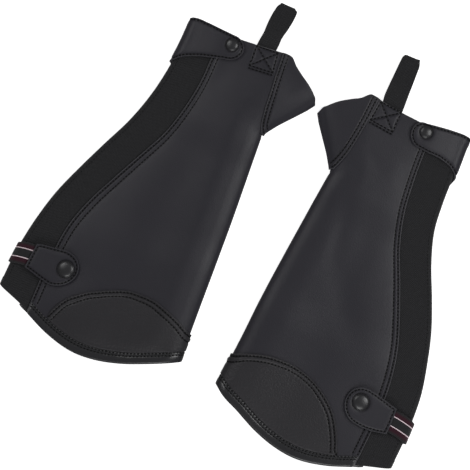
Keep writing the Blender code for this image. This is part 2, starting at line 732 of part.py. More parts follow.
def make_chap(chap):
    """All the pieces of one chap, under an empty at its instep corner."""
    lie = CHAPS[chap]
    holder = bpy.data.objects.new(f"{chap}_chap", None)
    holder.location = (lie["corner"][0] * MM, lie["corner"][1] * MM, 0)
    holder.rotation_euler = (0, 0, radians(lie["turn"]))
    holder["side"] = lie["side"]
    bpy.context.scene.collection.objects.link(holder)
    skin = Skin(chap)
    grid = Grid(skin)
    for name, material, cells, outer, inner in panels(grid):
        add_piece(holder, f"{chap}_{name}", wall(grid, cells, outer, inner), material)
    add_piece(holder, f"{chap}_binding", binding_strip(grid), "binding")
    ankle_tab = tab_strip(ANKLE_TAB[chap], ANKLE_TIP[chap], skin, LEATHER)
    calf_tab = tab_strip(CALF_TAB[chap], CALF_TIP[chap], skin, LEATHER)
    add_piece(holder, f"{chap}_ankle_tab", ankle_tab, "leather")
    add_piece(holder, f"{chap}_calf_tab", calf_tab, "leather")
    add_piece(holder, f"{chap}_calf_strap", tab_strip(CALF_STRAP[chap], 0, skin, WEBBING), "webbing")
    for name in SNAPS:
        cap, socket = snap_parts(skin, name)
        add_piece(holder, f"{chap}_{name}_snap_cap", cap, "snap")
        add_piece(holder, f"{chap}_{name}_snap_socket", socket, "snap")
    add_piece(holder, f"{chap}_stirrup", stirrup_strip(skin), "elastic")
    add_piece(holder, f"{chap}_zip_slider", slider_box(skin), "slider")


def main():
    for obj in list(bpy.data.objects):
        bpy.data.objects.remove(obj, do_unlink=True)
    for chap in CHAPS:
        make_chap(chap)


main()
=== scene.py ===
"""The looks of a pair of black half chaps, laid flat: leather, elastic, stitches, snaps and zips.

Each piece is worked out again on the skin that the CAD solids follow, in the chap's own plan: "across" runs
back from the shin fold, "along" runs from the instep corner toward the calf hem, and "share" is 0 at the calf
hem and 1 at the ankle hem. Sizes in the tables are in millimetres.
"""

from collections import namedtuple
from math import cos, pi, radians, sin

import bmesh
import bpy
import numpy as np
from bpy.props import FloatProperty, FloatVectorProperty, PointerProperty
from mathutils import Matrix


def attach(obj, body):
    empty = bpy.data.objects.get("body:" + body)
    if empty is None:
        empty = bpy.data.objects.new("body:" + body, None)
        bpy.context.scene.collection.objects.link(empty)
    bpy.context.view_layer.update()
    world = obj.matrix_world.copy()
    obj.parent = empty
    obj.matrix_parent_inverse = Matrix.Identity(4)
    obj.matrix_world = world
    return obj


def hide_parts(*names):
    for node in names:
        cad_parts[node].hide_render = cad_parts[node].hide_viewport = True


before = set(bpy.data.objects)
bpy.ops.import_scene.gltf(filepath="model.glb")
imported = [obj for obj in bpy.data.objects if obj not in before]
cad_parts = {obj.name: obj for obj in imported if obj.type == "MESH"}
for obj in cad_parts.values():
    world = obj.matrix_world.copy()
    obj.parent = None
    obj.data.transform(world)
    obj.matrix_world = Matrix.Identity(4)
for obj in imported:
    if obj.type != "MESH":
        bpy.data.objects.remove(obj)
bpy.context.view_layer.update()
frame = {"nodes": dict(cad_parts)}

bl_info = {
    "name": "Half chaps",
    "version": (1, 0, 0),
    "blender": (4, 5, 0),
    "location": "3D View > Sidebar > Half chaps",
    "description": "Makes the leather, elastic, stitches and hardware of a pair of half chaps",
    "category": "Add Mesh",
}

MM = 0.001
TOP, UNDER = 1, -1

# Walls and gaps
GAP = 0.3
LEATHER = 1.5
WEBBING = 1.2
ELASTIC = 1.2
TAPE = 0.8
BINDING = 1.2
LAP = LEATHER + GAP  # depth of what lies behind the leather
CHAPS = {
    "left": {"side": -1, "corner": (27.05, 98.9), "turn": -20.0},
    "right": {"side": 1, "corner": (94.05, 61.9), "turn": -28.9},
}
CALF_SHIN = {"left": 238.2, "right": 237.3}
CALF_BACK = 228.5
ANKLE_BACK = {"left": -83.5, "right": -88.0}
INSTEP_SHARE = 0.76
INSTEP_TIP = (-38.3, -47.8)
CALF_FADE, ANKLE_FADE = 3.0, 5.0


def table(names, *rows):
    """The columns of a table, by name."""
    return dict(zip(names.split(), np.array(rows, float).T))


SIDES = table(
    "along left_fold left_seam left_back right_fold right_seam right_back",
    (-88, 0.0, 71.4, 105.1, 0.0, 71.0, 106.0),
    (-60, 0.0, 74.0, 107.1, 0.0, 73.8, 110.0),
    (-30, 0.0, 76.2, 111.6, 0.0, 78.6, 114.0),
    (0, 0.0, 82.3, 118.9, 0.0, 85.5, 120.3),
    (30, -0.3, 92.2, 130.1, -0.2, 97.3, 133.6),
    (60, -0.7, 108.2, 145.3, -0.2, 114.0, 150.9),
    (90, -1.0, 124.7, 160.0, -0.2, 130.2, 166.6),
    (120, -0.9, 140.2, 173.4, 0.0, 144.6, 178.4),
    (150, -0.7, 151.3, 183.0, 0.6, 153.8, 187.9),
    (180, -0.4, 156.3, 189.9, 2.0, 159.1, 193.0),
    (245, -0.2, 161.1, 197.1, 3.2, 163.5, 197.5),
)
PINCH = table(
    "share inward",
    (0.755, 0),
    (0.77, 1.15),
    (0.78, 2.2),
    (0.795, 2.65),
    (0.835, 2.7),
    (0.86, 2.3),
    (0.911, 0.9),
    (0.961, -0.3),
    (1, 0),
)
CALF_HEM = table(
    "across left_along right_along",
    (0, CALF_SHIN["left"], CALF_SHIN["right"]),
    (10, 242.7, 243.0),
    (30, 250.9, 249.7),
    (55, 259.8, 258.5),
    (80, 265.0, 263.7),
    (102, 265.4, 264.2),
    (135, 256.2, 255.4),
    (160, 243.8, 243.4),
    (196, CALF_BACK, CALF_BACK),
)
ANKLE_HEM = table(
    "across left_along right_along",
    (INSTEP_TIP[0], INSTEP_TIP[1], INSTEP_TIP[1]),
    (-37.3, -52.0, -53.0),
    (-34.5, -56.0, -57.2),
    (-28, -62.3, -65.3),
    (-16, -71.0, -75.5),
    (-8, -77.4, -81.4),
    (-2, -83.7, -88.5),
    (4, -85.2, -89.3),
    (12, -84.7, -88.3),
    (60, -83.0, -88.3),
    (110, ANKLE_BACK["left"], ANKLE_BACK["right"]),
)
HEIGHTS = table(
    "share shin middle back",
    (0.00, 16.5, 13.0, 9.5),
    (0.25, 16.5, 12.5, 9.5),
    (0.50, 16.0, 12.0, 9.5),
    (0.76, 14.5, 11.5, 9.5),
    (1.00, 13.0, 12.0, 10.0),
)
SHIN_ROUND = {TOP: 16.0, UNDER: 8.0}
BACK_ROUND = {TOP: 7.0, UNDER: 5.0}
FOLD_LEVEL = 0.42
CROWN_END = 80.0
REST_LIFT = LEATHER + GAP
LIFTS = table("share lift", (0.0, 1), (0.28, 1), (0.40, 0), (0.62, 0), (0.73, 1), (1.0, 1))
NEAR_SHIN = table(
    "base reach",
    (0.5, 0.02),
    (1.4, 0.08),
    (2.6, 0.22),
    (3.8, 0.88),
    (5.0, 1.08),
    (10, 1.15),
    (17, 1.25),
)
UNDER_LEATHER, UNDER_ELASTIC = 26.0, 16.0
TUCK = 8.0
PATCH_STOP = 21.0
PATCH_WRAP = 22.0
HALF_MOON = table(
    "from_shin left_rise right_rise",
    (-PATCH_WRAP, 12, 12),
    (0, 27.5, 29.8),
    (15, 42.4, 46.6),
    (30, 54.9, 58.2),
    (45, 65.4, 67.5),
    (60, 71.0, 74.0),
    (74, 73.2, 76.3),
    (87, 70.6, 75.3),
    (100, 64.9, 70.2),
    (110, 58.6, 63.2),
    (120, 48.9, 52.7),
    (129, 37.3, 38.2),
    (135, 24.6, 26.0),
    (139, 14.0, 16.5),
    (143, 12, 12),
)
BINDING_WIDTH = 9.5
SLANT_GAP = 0.45
ANKLE_TAB = {
    "left": table(
        "reach stand near far",
        (47, 2.6, -84.7, -58.9),
        (36, 2.6, -85.8, -56.3),
        (18, 1.0, -87.7, -51.2),
        (6, -0.5, -88.3, -45.0),
        (1.5, -0.7, -87.3, -40.2),
        (0, -0.7, -86.3, -38.4),
        (-1.5, -0.7, -86.0, -37.0),
        (-6, GAP, -85.0, -37.5),
        (-24, GAP, -81.0, -44.0),
        (-41, GAP, -79.0, -49.0),
    ),
    "right": table(
        "reach stand near far",
        (47, 2.6, -90.0, -65.0),
        (36, 2.6, -92.8, -65.1),
        (18, 1.0, -96.8, -65.6),
        (6, -0.5, -98.4, -62.0),
        (1.5, -0.6, -98.0, -58.0),
        (0, -0.6, -97.3, -54.5),
        (-1.5, -0.6, -96.0, -49.0),
        (-6, GAP, -93.0, -45.5),
        (-24, GAP, -87.0, -52.0),
        (-41, GAP, -84.0, -60.0),
    ),
}
CALF_TAB = {
    "left": table(
        "reach stand near far",
        (46, 2.7, 174.6, 211.9),
        (34, 2.7, 175.8, 208.6),
        (25, 2.7, 176.6, 205.9),
        (17.5, 2.7, 177.8, 203.8),
    ),
    "right": table(
        "reach stand near far",
        (54, 2.7, 169.7, 206.6),
        (46, 2.7, 170.2, 206.5),
        (34, 2.7, 171.9, 204.4),
        (21.3, 2.7, 173.6, 200.4),
    ),
}
CALF_STRAP = {
    "left": table(
        "reach stand near far",
        (28, 1.2, 179.0, 202.4),
        (17, 1.2, 179.1, 202.7),
        (9, 0.4, 179.6, 203.3),
        (4, -0.4, 180.3, 204.3),
        (0, -0.8, 181.2, 205.2),
        (-4, -0.6, 181.8, 205.5),
        (-22, GAP, 181.0, 204.5),
        (-40, GAP, 180.0, 203.5),
    ),
    "right": table(
        "reach stand near far",
        (31, 1.2, 174.8, 198.3),
        (20, 1.2, 174.8, 198.4),
        (8, 0.8, 175.5, 199.2),
        (2, 0.2, 176.4, 200.8),
        (0, 0.1, 177.0, 201.6),
        (-4, 0.2, 177.4, 201.8),
        (-22, GAP, 176.5, 200.0),
        (-40, GAP, 175.5, 199.0),
    ),
}
ANKLE_TIP = {"left": 14.8, "right": 11.2}
CALF_TIP = {"left": 22.0, "right": 19.0}
SNAPS = {
    "ankle": {"radius": 6.5, "rise": 2.4, "left": (48.8, -74.9), "right": (43.8, -82.2)},
    "calf": {"radius": 8.5, "rise": 3.0, "left": (55.4, 191.9), "right": (57.7, 184.8)},
}
SNAP_GAP = 0.65
STIRRUP_IN = 21.0
STIRRUPS = {
    "left": {"root": 26.2, "near": 47.2, "far": 48.4, "under_shift": -1.5},
    "right": {"root": 23.7, "near": 53.4, "far": 55.6, "under_shift": 0.0},
}  # near and far: how far each edge reaches out from the hem
# Its two edges from the middle of its root, from the hem (step 0) out to the tip (step 1)
STIRRUP_EDGES = table(
    "step left_near left_far right_near right_far",
    (0, -10.0, 10.0, -11.0, 11.0),
    (0.12, -10.8, 9.1, -12.6, 10.1),
    (0.3, -11.0, 7.7, -13.6, 8.7),
    (0.55, -13.5, 7.1, -14.4, 7.0),
    (0.8, -15.4, 5.4, -15.2, 5.1),
    (1, -15.8, 3.1, -15.7, 3.5),
)
STIRRUP_BEND = 1.4
SLIDER_ALONG = {"left": -60.0, "right": -68.0}

# Where the instep piece is cut, over the shaft
INSTEP_EDGE = table(
    "along left right",
    (-92, 8.6, 7.4),
    (-60, 7.8, 8.3),
    (-40, 7.0, 7.8),
    (-22, 6.3, 6.2),
    (-10, 4.8, 3.4),
    (-3, 2.4, 1.2),
    (4, 0.6, 0.4),
)
INSTEP_LAP = 9.0
# Corners of the stitched box that holds the stirrup, across and along
BOX_STITCH = {
    "left": ((35.7, -82.7), (13.4, -82.7), (11.6, -62.6), (35.9, -61.6)),
    "right": ((11.0, -87.0), (33.9, -87.2), (35.3, -66.2), (10.3, -66.2)),
}
# Stitch rows, from the cut edge: the instep piece's, the half moon's, and the long seam's second row
ROWS_IN = (2.0, 5.8)
MOON_ROWS_IN = (2.0, 6.2)
SEAM_SECOND = table("along left right", (-88, 6.3, 5.8), (30, 6.5, 5.9), (90, 7.3, 6.5), (245, 7.0, 7.3))
BINDING_ROWS = (6.0, 8.7)  # up from the calf hem
FLAP_START = {"left": 0.762, "right": 0.775}  # share up at which the instep piece meets the shin fold
# How far the leather stands up between its seams, and how soon
SWELL = {"left": (3.8, 28.0), "right": (1.6, 14.0)}
# In from each edge: what the swell keeps clear of, and over how far it grows
SWELL_SEAM_CLEAR = 8.0
SWELL_FOLD_CLEAR, SWELL_FOLD_GROW = 5, 30
SWELL_CALF_CLEAR, SWELL_CALF_GROW = 10, 12
SWELL_ANKLE_CLEAR, SWELL_ANKLE_GROW = 3, 30
SNAP_HOLDS = 20  # how far round a snap the leather under it is held down
ELASTIC_HEM, ELASTIC_HEM_ROW = 8.3, 6.8  # depth of the elastic's turned hem, and of its row of stitches
FELL_IN = 6.5  # from the back edge to the elastic's fell
SEAM_PUFF, INSTEP_PUFF, MOON_PUFF = 2.4, 2.6, 2.0  # half widths of what stands up between two rows
BOX_DRAWN, BOX_LIFT = 0.75, 0.25  # at the stirrup's box: width of a drawn-in line, and how far it stands up
TAB_ROW_IN = 2.0  # from a tab's edge to its row of stitches
CAP_SUNK = 0.2  # how deep a snap's cap sits in its tab
UNDER_STITCH = 0.55  # lowest middle of a stitch over the floor
SUNK = 0.45  # how much deeper stitches sit on the underside, off the floor
THREAD_LIFT = 0.12  # how far a stitch's middle lies under the face it is sewn through
DRAWN = 0.8  # width of the line that a row of stitches draws in
CUT_ROUND, CUT_PALE = 0.9, 0.6  # how far in a cut edge is rounded, and how far it is pale
FLOOR_GAP = 0.05  # lowest that a tab's face may reach over the floor
SLOT_MIDDLE = (UNDER_LEATHER + UNDER_ELASTIC) / 2  # of the zip's slot, from the back edge
BLACK = (0.0, 0.0, 0.0, 1.0)

# The studio, in metres: where each softbox stands, its width, and the floor
SOFTBOXES = {"left": (-0.57, 0.57, 1.02), "right": (0.8, 0.0, 1.02), "front": (0.0, -1.0, 0.83)}
SOFTBOX_WIDTH = 0.6
FLOOR_WIDTH, FLOOR_LEVEL = 6.0, -0.0002
SKY = (0.25, 0.25, 0.25, 1.0)
SENSOR = 36.0

Line = namedtuple("Line", "side start end part shift")


def smoothstep(value):
    value = np.clip(value, 0, 1)
    return value * value * (3 - 2 * value)


def through(knots, values, at):
    """A curve through a table's rows, with each row's slope taken from its neighbours."""
    at = np.clip(at, knots[0], knots[-1])
    slopes = np.gradient(values, knots)
    low = np.clip(np.searchsorted(knots, at) - 1, 0, len(knots) - 2)
    step = knots[low + 1] - knots[low]
    part = (at - knots[low]) / step
    rest = 1 - part
    ends = rest * rest * (1 + 2 * part) * values[low] + part * part * (3 - 2 * part) * values[low + 1]
    return ends + part * rest * step * (rest * slopes[low] - part * slopes[low + 1])


def unit(vectors):
    return vectors / np.maximum(np.linalg.norm(vectors, axis=-1, keepdims=True), 1e-9)


def distance_to(points, line):
    """How far each point lies from a line through these points."""
    flat = points.reshape(-1, points.shape[-1])
    best = np.full(len(flat), 1e9)
    for a, b in zip(line, line[1:]):
        run = b - a
        part = np.clip((flat - a) @ run / max(run @ run, 1e-9), 0, 1)
        best = np.minimum(best, np.linalg.norm(flat - (a + part[:, None] * run), axis=1))
    return best.reshape(points.shape[:-1])


def lengths(points, axis):
    """Distance run so far along one axis of a grid of points."""
    steps = np.linalg.norm(np.diff(points, axis=axis), axis=-1)
    return np.insert(np.cumsum(steps, axis=axis), 0, 0, axis=axis)


def spaced(*stops):
    """Values from 0 on, through stops of (end, step)."""
    values = [0.0]
    for end, step in stops:
        count = max(round((end - values[-1]) / step), 1)
        values += list(np.linspace(values[-1], end, count + 1)[1:])
    return values


class Skin:
    """The outer surface of one flattened chap, over its plan."""

    def __init__(self, chap):
        self.chap = chap
        self.side = CHAPS[chap]["side"]

    def beyond(self, share):
        return np.maximum((share - INSTEP_SHARE) / (1 - INSTEP_SHARE), 0)

    def fold(self, share):
        climb = np.minimum(share / INSTEP_SHARE, 1)
        beyond = self.beyond(share)
        pinch = np.interp(share, PINCH["share"], PINCH["inward"])
        along = CALF_SHIN[self.chap] * (1 - climb) + INSTEP_TIP[1] * beyond
        return self.side_line("fold", along) + INSTEP_TIP[0] * beyond + pinch, along

    def back(self, share):
        along = CALF_BACK + (ANKLE_BACK[self.chap] - CALF_BACK) * share
        return self.side_line("back", along) + LAP, along

    def side_line(self, name, along):
        return through(SIDES["along"], SIDES[f"{self.chap}_{name}"], along)

    def along(self, across, share):
        fold_across, fold_along = self.fold(share)
        back_across, back_along = self.back(share)
        part = np.clip((across - fold_across) / (back_across - fold_across), 0, 1)
        calf = through(CALF_HEM["across"], CALF_HEM[f"{self.chap}_along"], part * CALF_HEM["across"][-1])
        calf = calf - CALF_SHIN[self.chap] * (1 - part) - CALF_BACK * part
        hem_across = INSTEP_TIP[0] + part * (self.back(1.0)[0] - INSTEP_TIP[0])
        ankle = through(ANKLE_HEM["across"], ANKLE_HEM[f"{self.chap}_along"], hem_across)
        ankle = ankle - INSTEP_TIP[1] * (1 - part) - ANKLE_BACK[self.chap] * part
        straight = fold_along + (back_along - fold_along) * part
        return straight + (1 - share) ** CALF_FADE * calf + share**ANKLE_FADE * ankle

    def height(self, side, across, share):
        from_fold = np.maximum(across - self.fold(share)[0], 0)
        from_back = np.maximum(self.back(share)[0] - across, 0)
        part = from_fold / (from_fold + from_back)
        names = ("shin", "middle", "back")
        shin, middle, back = (through(HEIGHTS["share"], HEIGHTS[name], share) for name in names)
        crown = 1 - smoothstep((from_fold - SHIN_ROUND[TOP]) / (CROWN_END - SHIN_ROUND[TOP]))
        full = middle + (shin - middle) * crown + (back - middle) * smoothstep(2 * part - 1)
        level = FOLD_LEVEL * (shin + (back - shin) * smoothstep(part))
        shin_bend = 1 - np.minimum(from_fold / SHIN_ROUND[side], 1)
        back_bend = 1 - np.minimum(from_back / BACK_ROUND[side], 1)
        open_share = np.sqrt((1 - shin_bend**2) * (1 - back_bend**2))
        flat = full if side == TOP else 0
        lift = REST_LIFT * smoothstep(np.interp(share, LIFTS["share"], LIFTS["lift"]))
        return lift + level + (flat - level) * open_share

    def point(self, side, across, share):
        return np.stack([across + 0 * share, self.along(across, share), self.height(side, across, share)], -1)

    def share_at(self, across, along):
        length = CALF_BACK - ANKLE_BACK[self.chap]
        share = (CALF_BACK - along) / length + 0 * across
        for _ in range(12):
            share = np.clip(share + (self.along(across, share) - along) / length, 0, 1)
        return share

    def on_line(self, line, share):
        """Across of a line that is given by along, at these shares."""
        across = line(self.back(share)[1])
        for _ in range(8):
            across = line(self.along(across, share))
        return across

    def lines(self, share):
        """Across of the named lines of the ring at these shares."""
        fold, back = self.fold(share)[0], self.back(share)[0]
        out = {"fold": fold, "back": back, "seam": self.on_line(lambda v: self.side_line("seam", v), share)}
        for step, (base, reach) in enumerate(zip(NEAR_SHIN["base"], NEAR_SHIN["reach"])):
            out[f"near_{step}"] = fold + base - INSTEP_TIP[0] * self.beyond(share) * reach
        edge = self.on_line(lambda v: through(INSTEP_EDGE["along"], INSTEP_EDGE[self.chap], v), share)
        out["flap"] = np.maximum(edge, fold + 0.3)
        out["opening"] = np.maximum(edge - INSTEP_LAP, out["near_2"] + 1.2)
        out["patch_end"] = out["seam"] - PATCH_STOP
        out["wrap"] = out["near_6"] + PATCH_WRAP - NEAR_SHIN["base"][-1]
        out["leather_edge"] = back - UNDER_LEATHER
        out["elastic_edge"] = back - UNDER_ELASTIC
        return out

    def back_curve(self, along, away):
        """Across, level and direction of the ring near the back edge, from far underneath to far on top."""
        edge = self.side_line("back", along) + LAP
        share = self.share_at(edge - away, along)
        inward = self.back(share)[0] - away
        under, top = (self.height(side, inward, share) for side in (UNDER, TOP))
        across = edge - np.append(away[:0:-1], away)
        level = np.append(under[:0:-1], top)
        turn = np.stack([np.gradient(across), np.gradient(level)])
        return np.stack([across, level, *(turn / np.hypot(*turn))], -1)

    def back_ring(self, reach, along, stand):
        """Points that stand off the skin near the back edge: reach is negative on the underside."""
        reach, along, stand = np.broadcast_arrays(*(np.asarray(v, float) for v in (reach, along, stand)))
        away = 90 * np.linspace(0, 1, 181) ** 2
        places = np.arange(along.min() - 1.5, along.max() + 3, 1.5)
        curves = np.array([self.back_curve(place, away) for place in places])
        reaches = np.append(-away[:0:-1], away)
        at = (along - places[0]) / 1.5
        beside = np.interp(reach, reaches, np.arange(len(reaches)))
        low, near = at.astype(int), np.minimum(beside.astype(int), len(reaches) - 2)
        u, w = (at - low)[..., None], (beside - near)[..., None]
        first = curves[low, near] * (1 - w) + curves[low, near + 1] * w
        second = curves[low + 1, near] * (1 - w) + curves[low + 1, near + 1] * w
        across, level, run, climb = np.moveaxis(first * (1 - u) + second * u, -1, 0)
        return np.stack([across + stand * climb, along, level - stand * run], -1)

    def row(self, across, along, side=TOP):
        """A line of points on the skin, with the way out at each."""
        across, along = np.asarray(across, float), np.asarray(along, float)

        def level(a, v):
            return self.height(side, a, self.share_at(a, v))

        step = 0.4
        slope_a = (level(across + step, along) - level(across - step, along)) / (2 * step)
        slope_v = (level(across, along + step) - level(across, along - step)) / (2 * step)
        points = np.stack([across, along, level(across, along)], -1)
        outs = side * unit(np.stack([-slope_a, -slope_v, np.ones_like(slope_a)], -1))
        return Row(points, outs)


class Row:
    """A line of stitches: its points on the skin or on a tab, and the way out at each."""

    def __init__(self, points, outs):
        self.points = points
        self.outs = outs

    def lifted(self, height):
        return Row(self.points + self.outs * height, self.outs)


class Sheet:
    """A piece on the skin, on columns that run along it and rows that run across it."""

    def __init__(self, skin, columns, shares):
        shares = np.broadcast_to(shares, (len(columns), np.shape(shares)[-1]))
        self.skin, self.shares = skin, shares
        lines = skin.lines(shares)
        across = np.zeros(shares.shape)
        for number, column in enumerate(columns):
            start, end = lines[column.start][number], lines[column.end][number]
            across[number] = start + (end - start) * column.part + column.shift
        top = np.array([column.side == TOP for column in columns])[:, None, None]
        self.points = np.where(top, *(skin.point(side, across, shares) for side in (TOP, UNDER)))
        self.outs = grid_normals(self.points, [column.side for column in columns])
        self.top = top[..., 0]
        # How far the sheet stands up, and how much painted shade darkens its colour in stitch grooves
        self.rise, self.press = np.zeros(shares.shape), np.zeros(shares.shape)
        self.cut = np.stack([lengths(self.points, 0), lengths(self.points, 1)], -1)

    def at_depth(self, depth):
        """The sheet's points at a depth; on the underside nothing stands up toward the floor."""
        rise = np.where(self.top, self.rise, np.minimum(self.rise, 0))
        return self.points - self.outs * (depth - rise)[..., None]

    def wall(self, name, outer, inner, material, **more):
        """The piece itself, between two depths."""
        walls = self.at_depth(outer), self.at_depth(inner)
        name = f"{self.skin.chap}_{name}"
        return make_wall(name, self.skin, *walls, self.cut, material, press=self.press, **more)


def grid_normals(points, sides):
    """Outward normals of a grid of points; sides says which columns face up or down."""
    normals = unit(np.cross(np.gradient(points, axis=0), np.gradient(points, axis=1)))
    inward = (normals[..., 2] * np.array(sides)[:, None]).sum() < 0
    return -normals if inward else normals


def run(side, start, end, count, low=0.0, high=1.0):
    """Columns between two lines of the ring, evenly spaced, without the first."""
    return [Line(side, start, end, low + (high - low) * step / count, 0.0) for step in range(1, count + 1)]


def beside(side, name, shifts):
    """Columns at these distances from a line of the ring."""
    return [Line(side, name, name, 0.0, shift) for shift in shifts]


def shares_from_hem(skin, columns, distances):
    """For each column, the shares at these distances up from the calf hem."""
    shares = np.linspace(0, 0.5, 80)
    points = Sheet(skin, columns, shares).points
    ran = lengths(points, 1)
    return np.array([np.interp(far, own, shares) for far, own in zip(np.atleast_2d(distances), ran)])


# ---------------------------------------------------------------- meshes


def wall_faces(shape, cells):
    """Faces of a closed wall between two grids of points, over the cells that are kept."""
    columns, rows = shape
    count = columns * rows
    number = np.arange(count).reshape(shape)
    a, b, c, d = number[:-1, :-1], number[1:, :-1], number[1:, 1:], number[:-1, 1:]
    outer = np.stack([a, b, c, d], -1)[cells]
    inner = np.stack([a, d, c, b], -1)[cells] + count
    padded = np.pad(cells, 1)
    rims = []
    sides = (((0, -1), a, b), ((1, 0), b, c), ((0, 1), c, d), ((-1, 0), d, a))
    for (step, turn), start, end in sides:
        beyond = padded[1 + step : columns + step, 1 + turn : rows + turn]
        open_side = cells & ~beyond
        first, last = start[open_side], end[open_side]
        rims.append(np.stack([last, first, first + count, last + count], -1))
    return np.concatenate([outer, inner, *rims])


def placed(skin, vectors, moved=True):
    """Points or directions of a chap's own plan, in the shared frame, in metres."""
    lie = CHAPS[skin.chap]
    turn = radians(lie["turn"])
    x, y = skin.side * vectors[:, 0], -vectors[:, 1]
    out = np.stack([x * cos(turn) - y * sin(turn), x * sin(turn) + y * cos(turn), vectors[:, 2]], -1)
    return (out + (*lie["corner"], 0)) * MM if moved else out


def make_mesh(name, skin, points, faces, cut, **values):
    """A mesh in the shared frame from points in a chap's own plan."""
    used = np.unique(faces)
    renumber = np.zeros(len(points), int)
    renumber[used] = np.arange(len(used))
    faces = renumber[faces]
    spots = placed(skin, points[used])
    a, b, c, d = (spots[faces[:, k]] for k in range(4))
    inside_out = (np.cross(c - a, d - b) * (a + b + c + d)).sum() < 0
    if inside_out:
        faces = faces[:, ::-1]
    mesh = bpy.data.meshes.new(name)
    mesh.from_pydata(spots.tolist(), [], faces.tolist())
    layer = mesh.uv_layers.new(name="cut")
    layer.data.foreach_set("uv", (cut[used][faces.ravel()] * MM).astype(np.float32).ravel())
    for key, value in values.items():
        attribute = mesh.attributes.new(key, "FLOAT", "POINT")
        attribute.data.foreach_set("value", value[used].astype(np.float32))
    mesh.shade_smooth()
    return mesh


def add_object(name, mesh):
    piece = bpy.data.objects.new(name, mesh)
    bpy.context.scene.collection.objects.link(piece)
    return piece


def cut_size(outer, cut, cells):
    """Width, length and area of a panel's flat cut, in metres."""
    a, b, c, d = outer[:-1, :-1], outer[1:, :-1], outer[1:, 1:], outer[:-1, 1:]
    area = np.linalg.norm(np.cross(c - a, d - b), axis=-1)[cells].sum() / 2
    width, length = np.ptp(cut[..., 0]), np.ptp(cut[..., 1])
    return width * MM, length * MM, area * MM * MM


def make_wall(name, skin, outer, inner, cut, material, cells=None, soften=0.4, press=None, pale=1.0):
    """A closed wall between two grids of points, its cut edges softened, and pale where leather shows raw.

    The mesh keeps the flat cut as its UV map, and for each point how near the edge it is and how much painted
    shade darkens it in stitch grooves and round snap caps.
    """
    if cells is None:
        cells = np.ones((outer.shape[0] - 1, outer.shape[1] - 1), bool)
    middle = (outer + inner) / 2
    padded = np.pad(cells, 1)
    corners = [padded[1:, 1:], padded[:-1, 1:], padded[1:, :-1], padded[:-1, :-1]]
    kept = sum(c.astype(int) for c in corners)
    rim = (kept > 0) & (kept < 4)
    near = rim_distance(middle, rim)
    bend = soften * (1 - np.sqrt(np.clip(1 - (1 - np.clip(near / CUT_ROUND, 0, 1)) ** 2, 0, 1)))
    way = unit(outer - inner)
    outer = outer - way * bend[..., None]
    inner = inner + way * bend[..., None]
    edge = pale * (1 - smoothstep(near / CUT_PALE))
    press = np.zeros(edge.shape) if press is None else press
    points = np.concatenate([outer.reshape(-1, 3), inner.reshape(-1, 3)])
    faces = wall_faces(outer.shape[:2], cells)
    cuts = np.concatenate([cut.reshape(-1, 2)] * 2)
    twice = {key: np.concatenate([value.ravel()] * 2) for key, value in (("edge", edge), ("press", press))}
    mesh = make_mesh(name, skin, points, faces, cuts, **twice)
    mesh.materials.append(material)
    piece = add_object(name, mesh)
    piece["cut"] = cut_size(outer, cut, cells)
    return piece


def rim_distance(points, rim):
    """How far each point of a grid lies from its rim."""
    targets = points[rim]
    flat = points.reshape(-1, 3)
    best = np.full(len(flat), 1e9)
    at_once = 60
    for start in range(0, len(targets), at_once):
        block = targets[start : start + at_once]
        best = np.minimum(best, np.linalg.norm(flat[:, None] - block[None], axis=-1).min(1))
    return best.reshape(points.shape[:2])


def settle(piece, nodes):
    """Hands one finished sheet to the frame: its body and its CAD nodes; the flat cut it carries is taken off
    and not used.
    """
    width, length, area = piece["cut"]
    del piece["cut"]
    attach(piece, "root")
    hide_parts(*nodes)
    area = min(area, width * length)


def trough(sheet, rows, depth, width=DRAWN):
    """Draws the cloth in along rows of stitches, and paints shade into the grooves they draw."""
    for row in rows:
        pressed = np.exp(-((distance_to(sheet.points, row.points) / width) ** 2))
        sheet.rise -= depth * pressed
        # Painted shade: the leather's colour is darkened along the stitch grooves
        sheet.press = np.maximum(sheet.press, pressed)


def puff(sheet, line, height, half):
    """Lets the cloth stand up along the line between two rows of stitches."""
    near = distance_to(sheet.points, line)
    sheet.rise += height * np.clip(1 - (near / half) ** 2, 0, 1)


def offset(points, distance):
    """A plan line moved sideways by a distance."""
    along = unit(np.gradient(points, axis=0))
    return points + distance * np.stack([-along[:, 1], along[:, 0]], -1)


# ---------------------------------------------------------------- node trees


def linear(code):
    """A hex sRGB colour as linear RGB."""
    values = [int(code[at : at + 2], 16) / 255 for at in (0, 2, 4)]
    return [v / 12.92 if v <= 0.04045 else ((v + 0.055) / 1.055) ** 2.4 for v in values]


def rgba(colour, gain=1.0):
    return [*(v * gain for v in colour[:3]), 1.0]


def add(tree, kind, inputs=None, give=0, **settings):
    """Adds a node with its settings, its values and what feeds it, and gives one of its outputs."""
    made = tree.nodes.new(kind)
    for name, value in settings.items():
        setattr(made, name, value)
    for key, value in (inputs or {}).items():
        if isinstance(value, bpy.types.NodeSocket):
            tree.links.new(value, made.inputs[key])
        else:
            made.inputs[key].default_value = value
    return made.outputs[give]


def begin(name, **values):
    """A new material, its tree and its Principled BSDF, with plain values on the shader's own sockets."""
    material = bpy.data.materials.new(name)
    material.use_nodes = True
    shader = material.node_tree.nodes["Principled BSDF"]
    for key, value in values.items():
        shader.inputs[key.replace("_", " ")].default_value = value
    return material, material.node_tree, shader


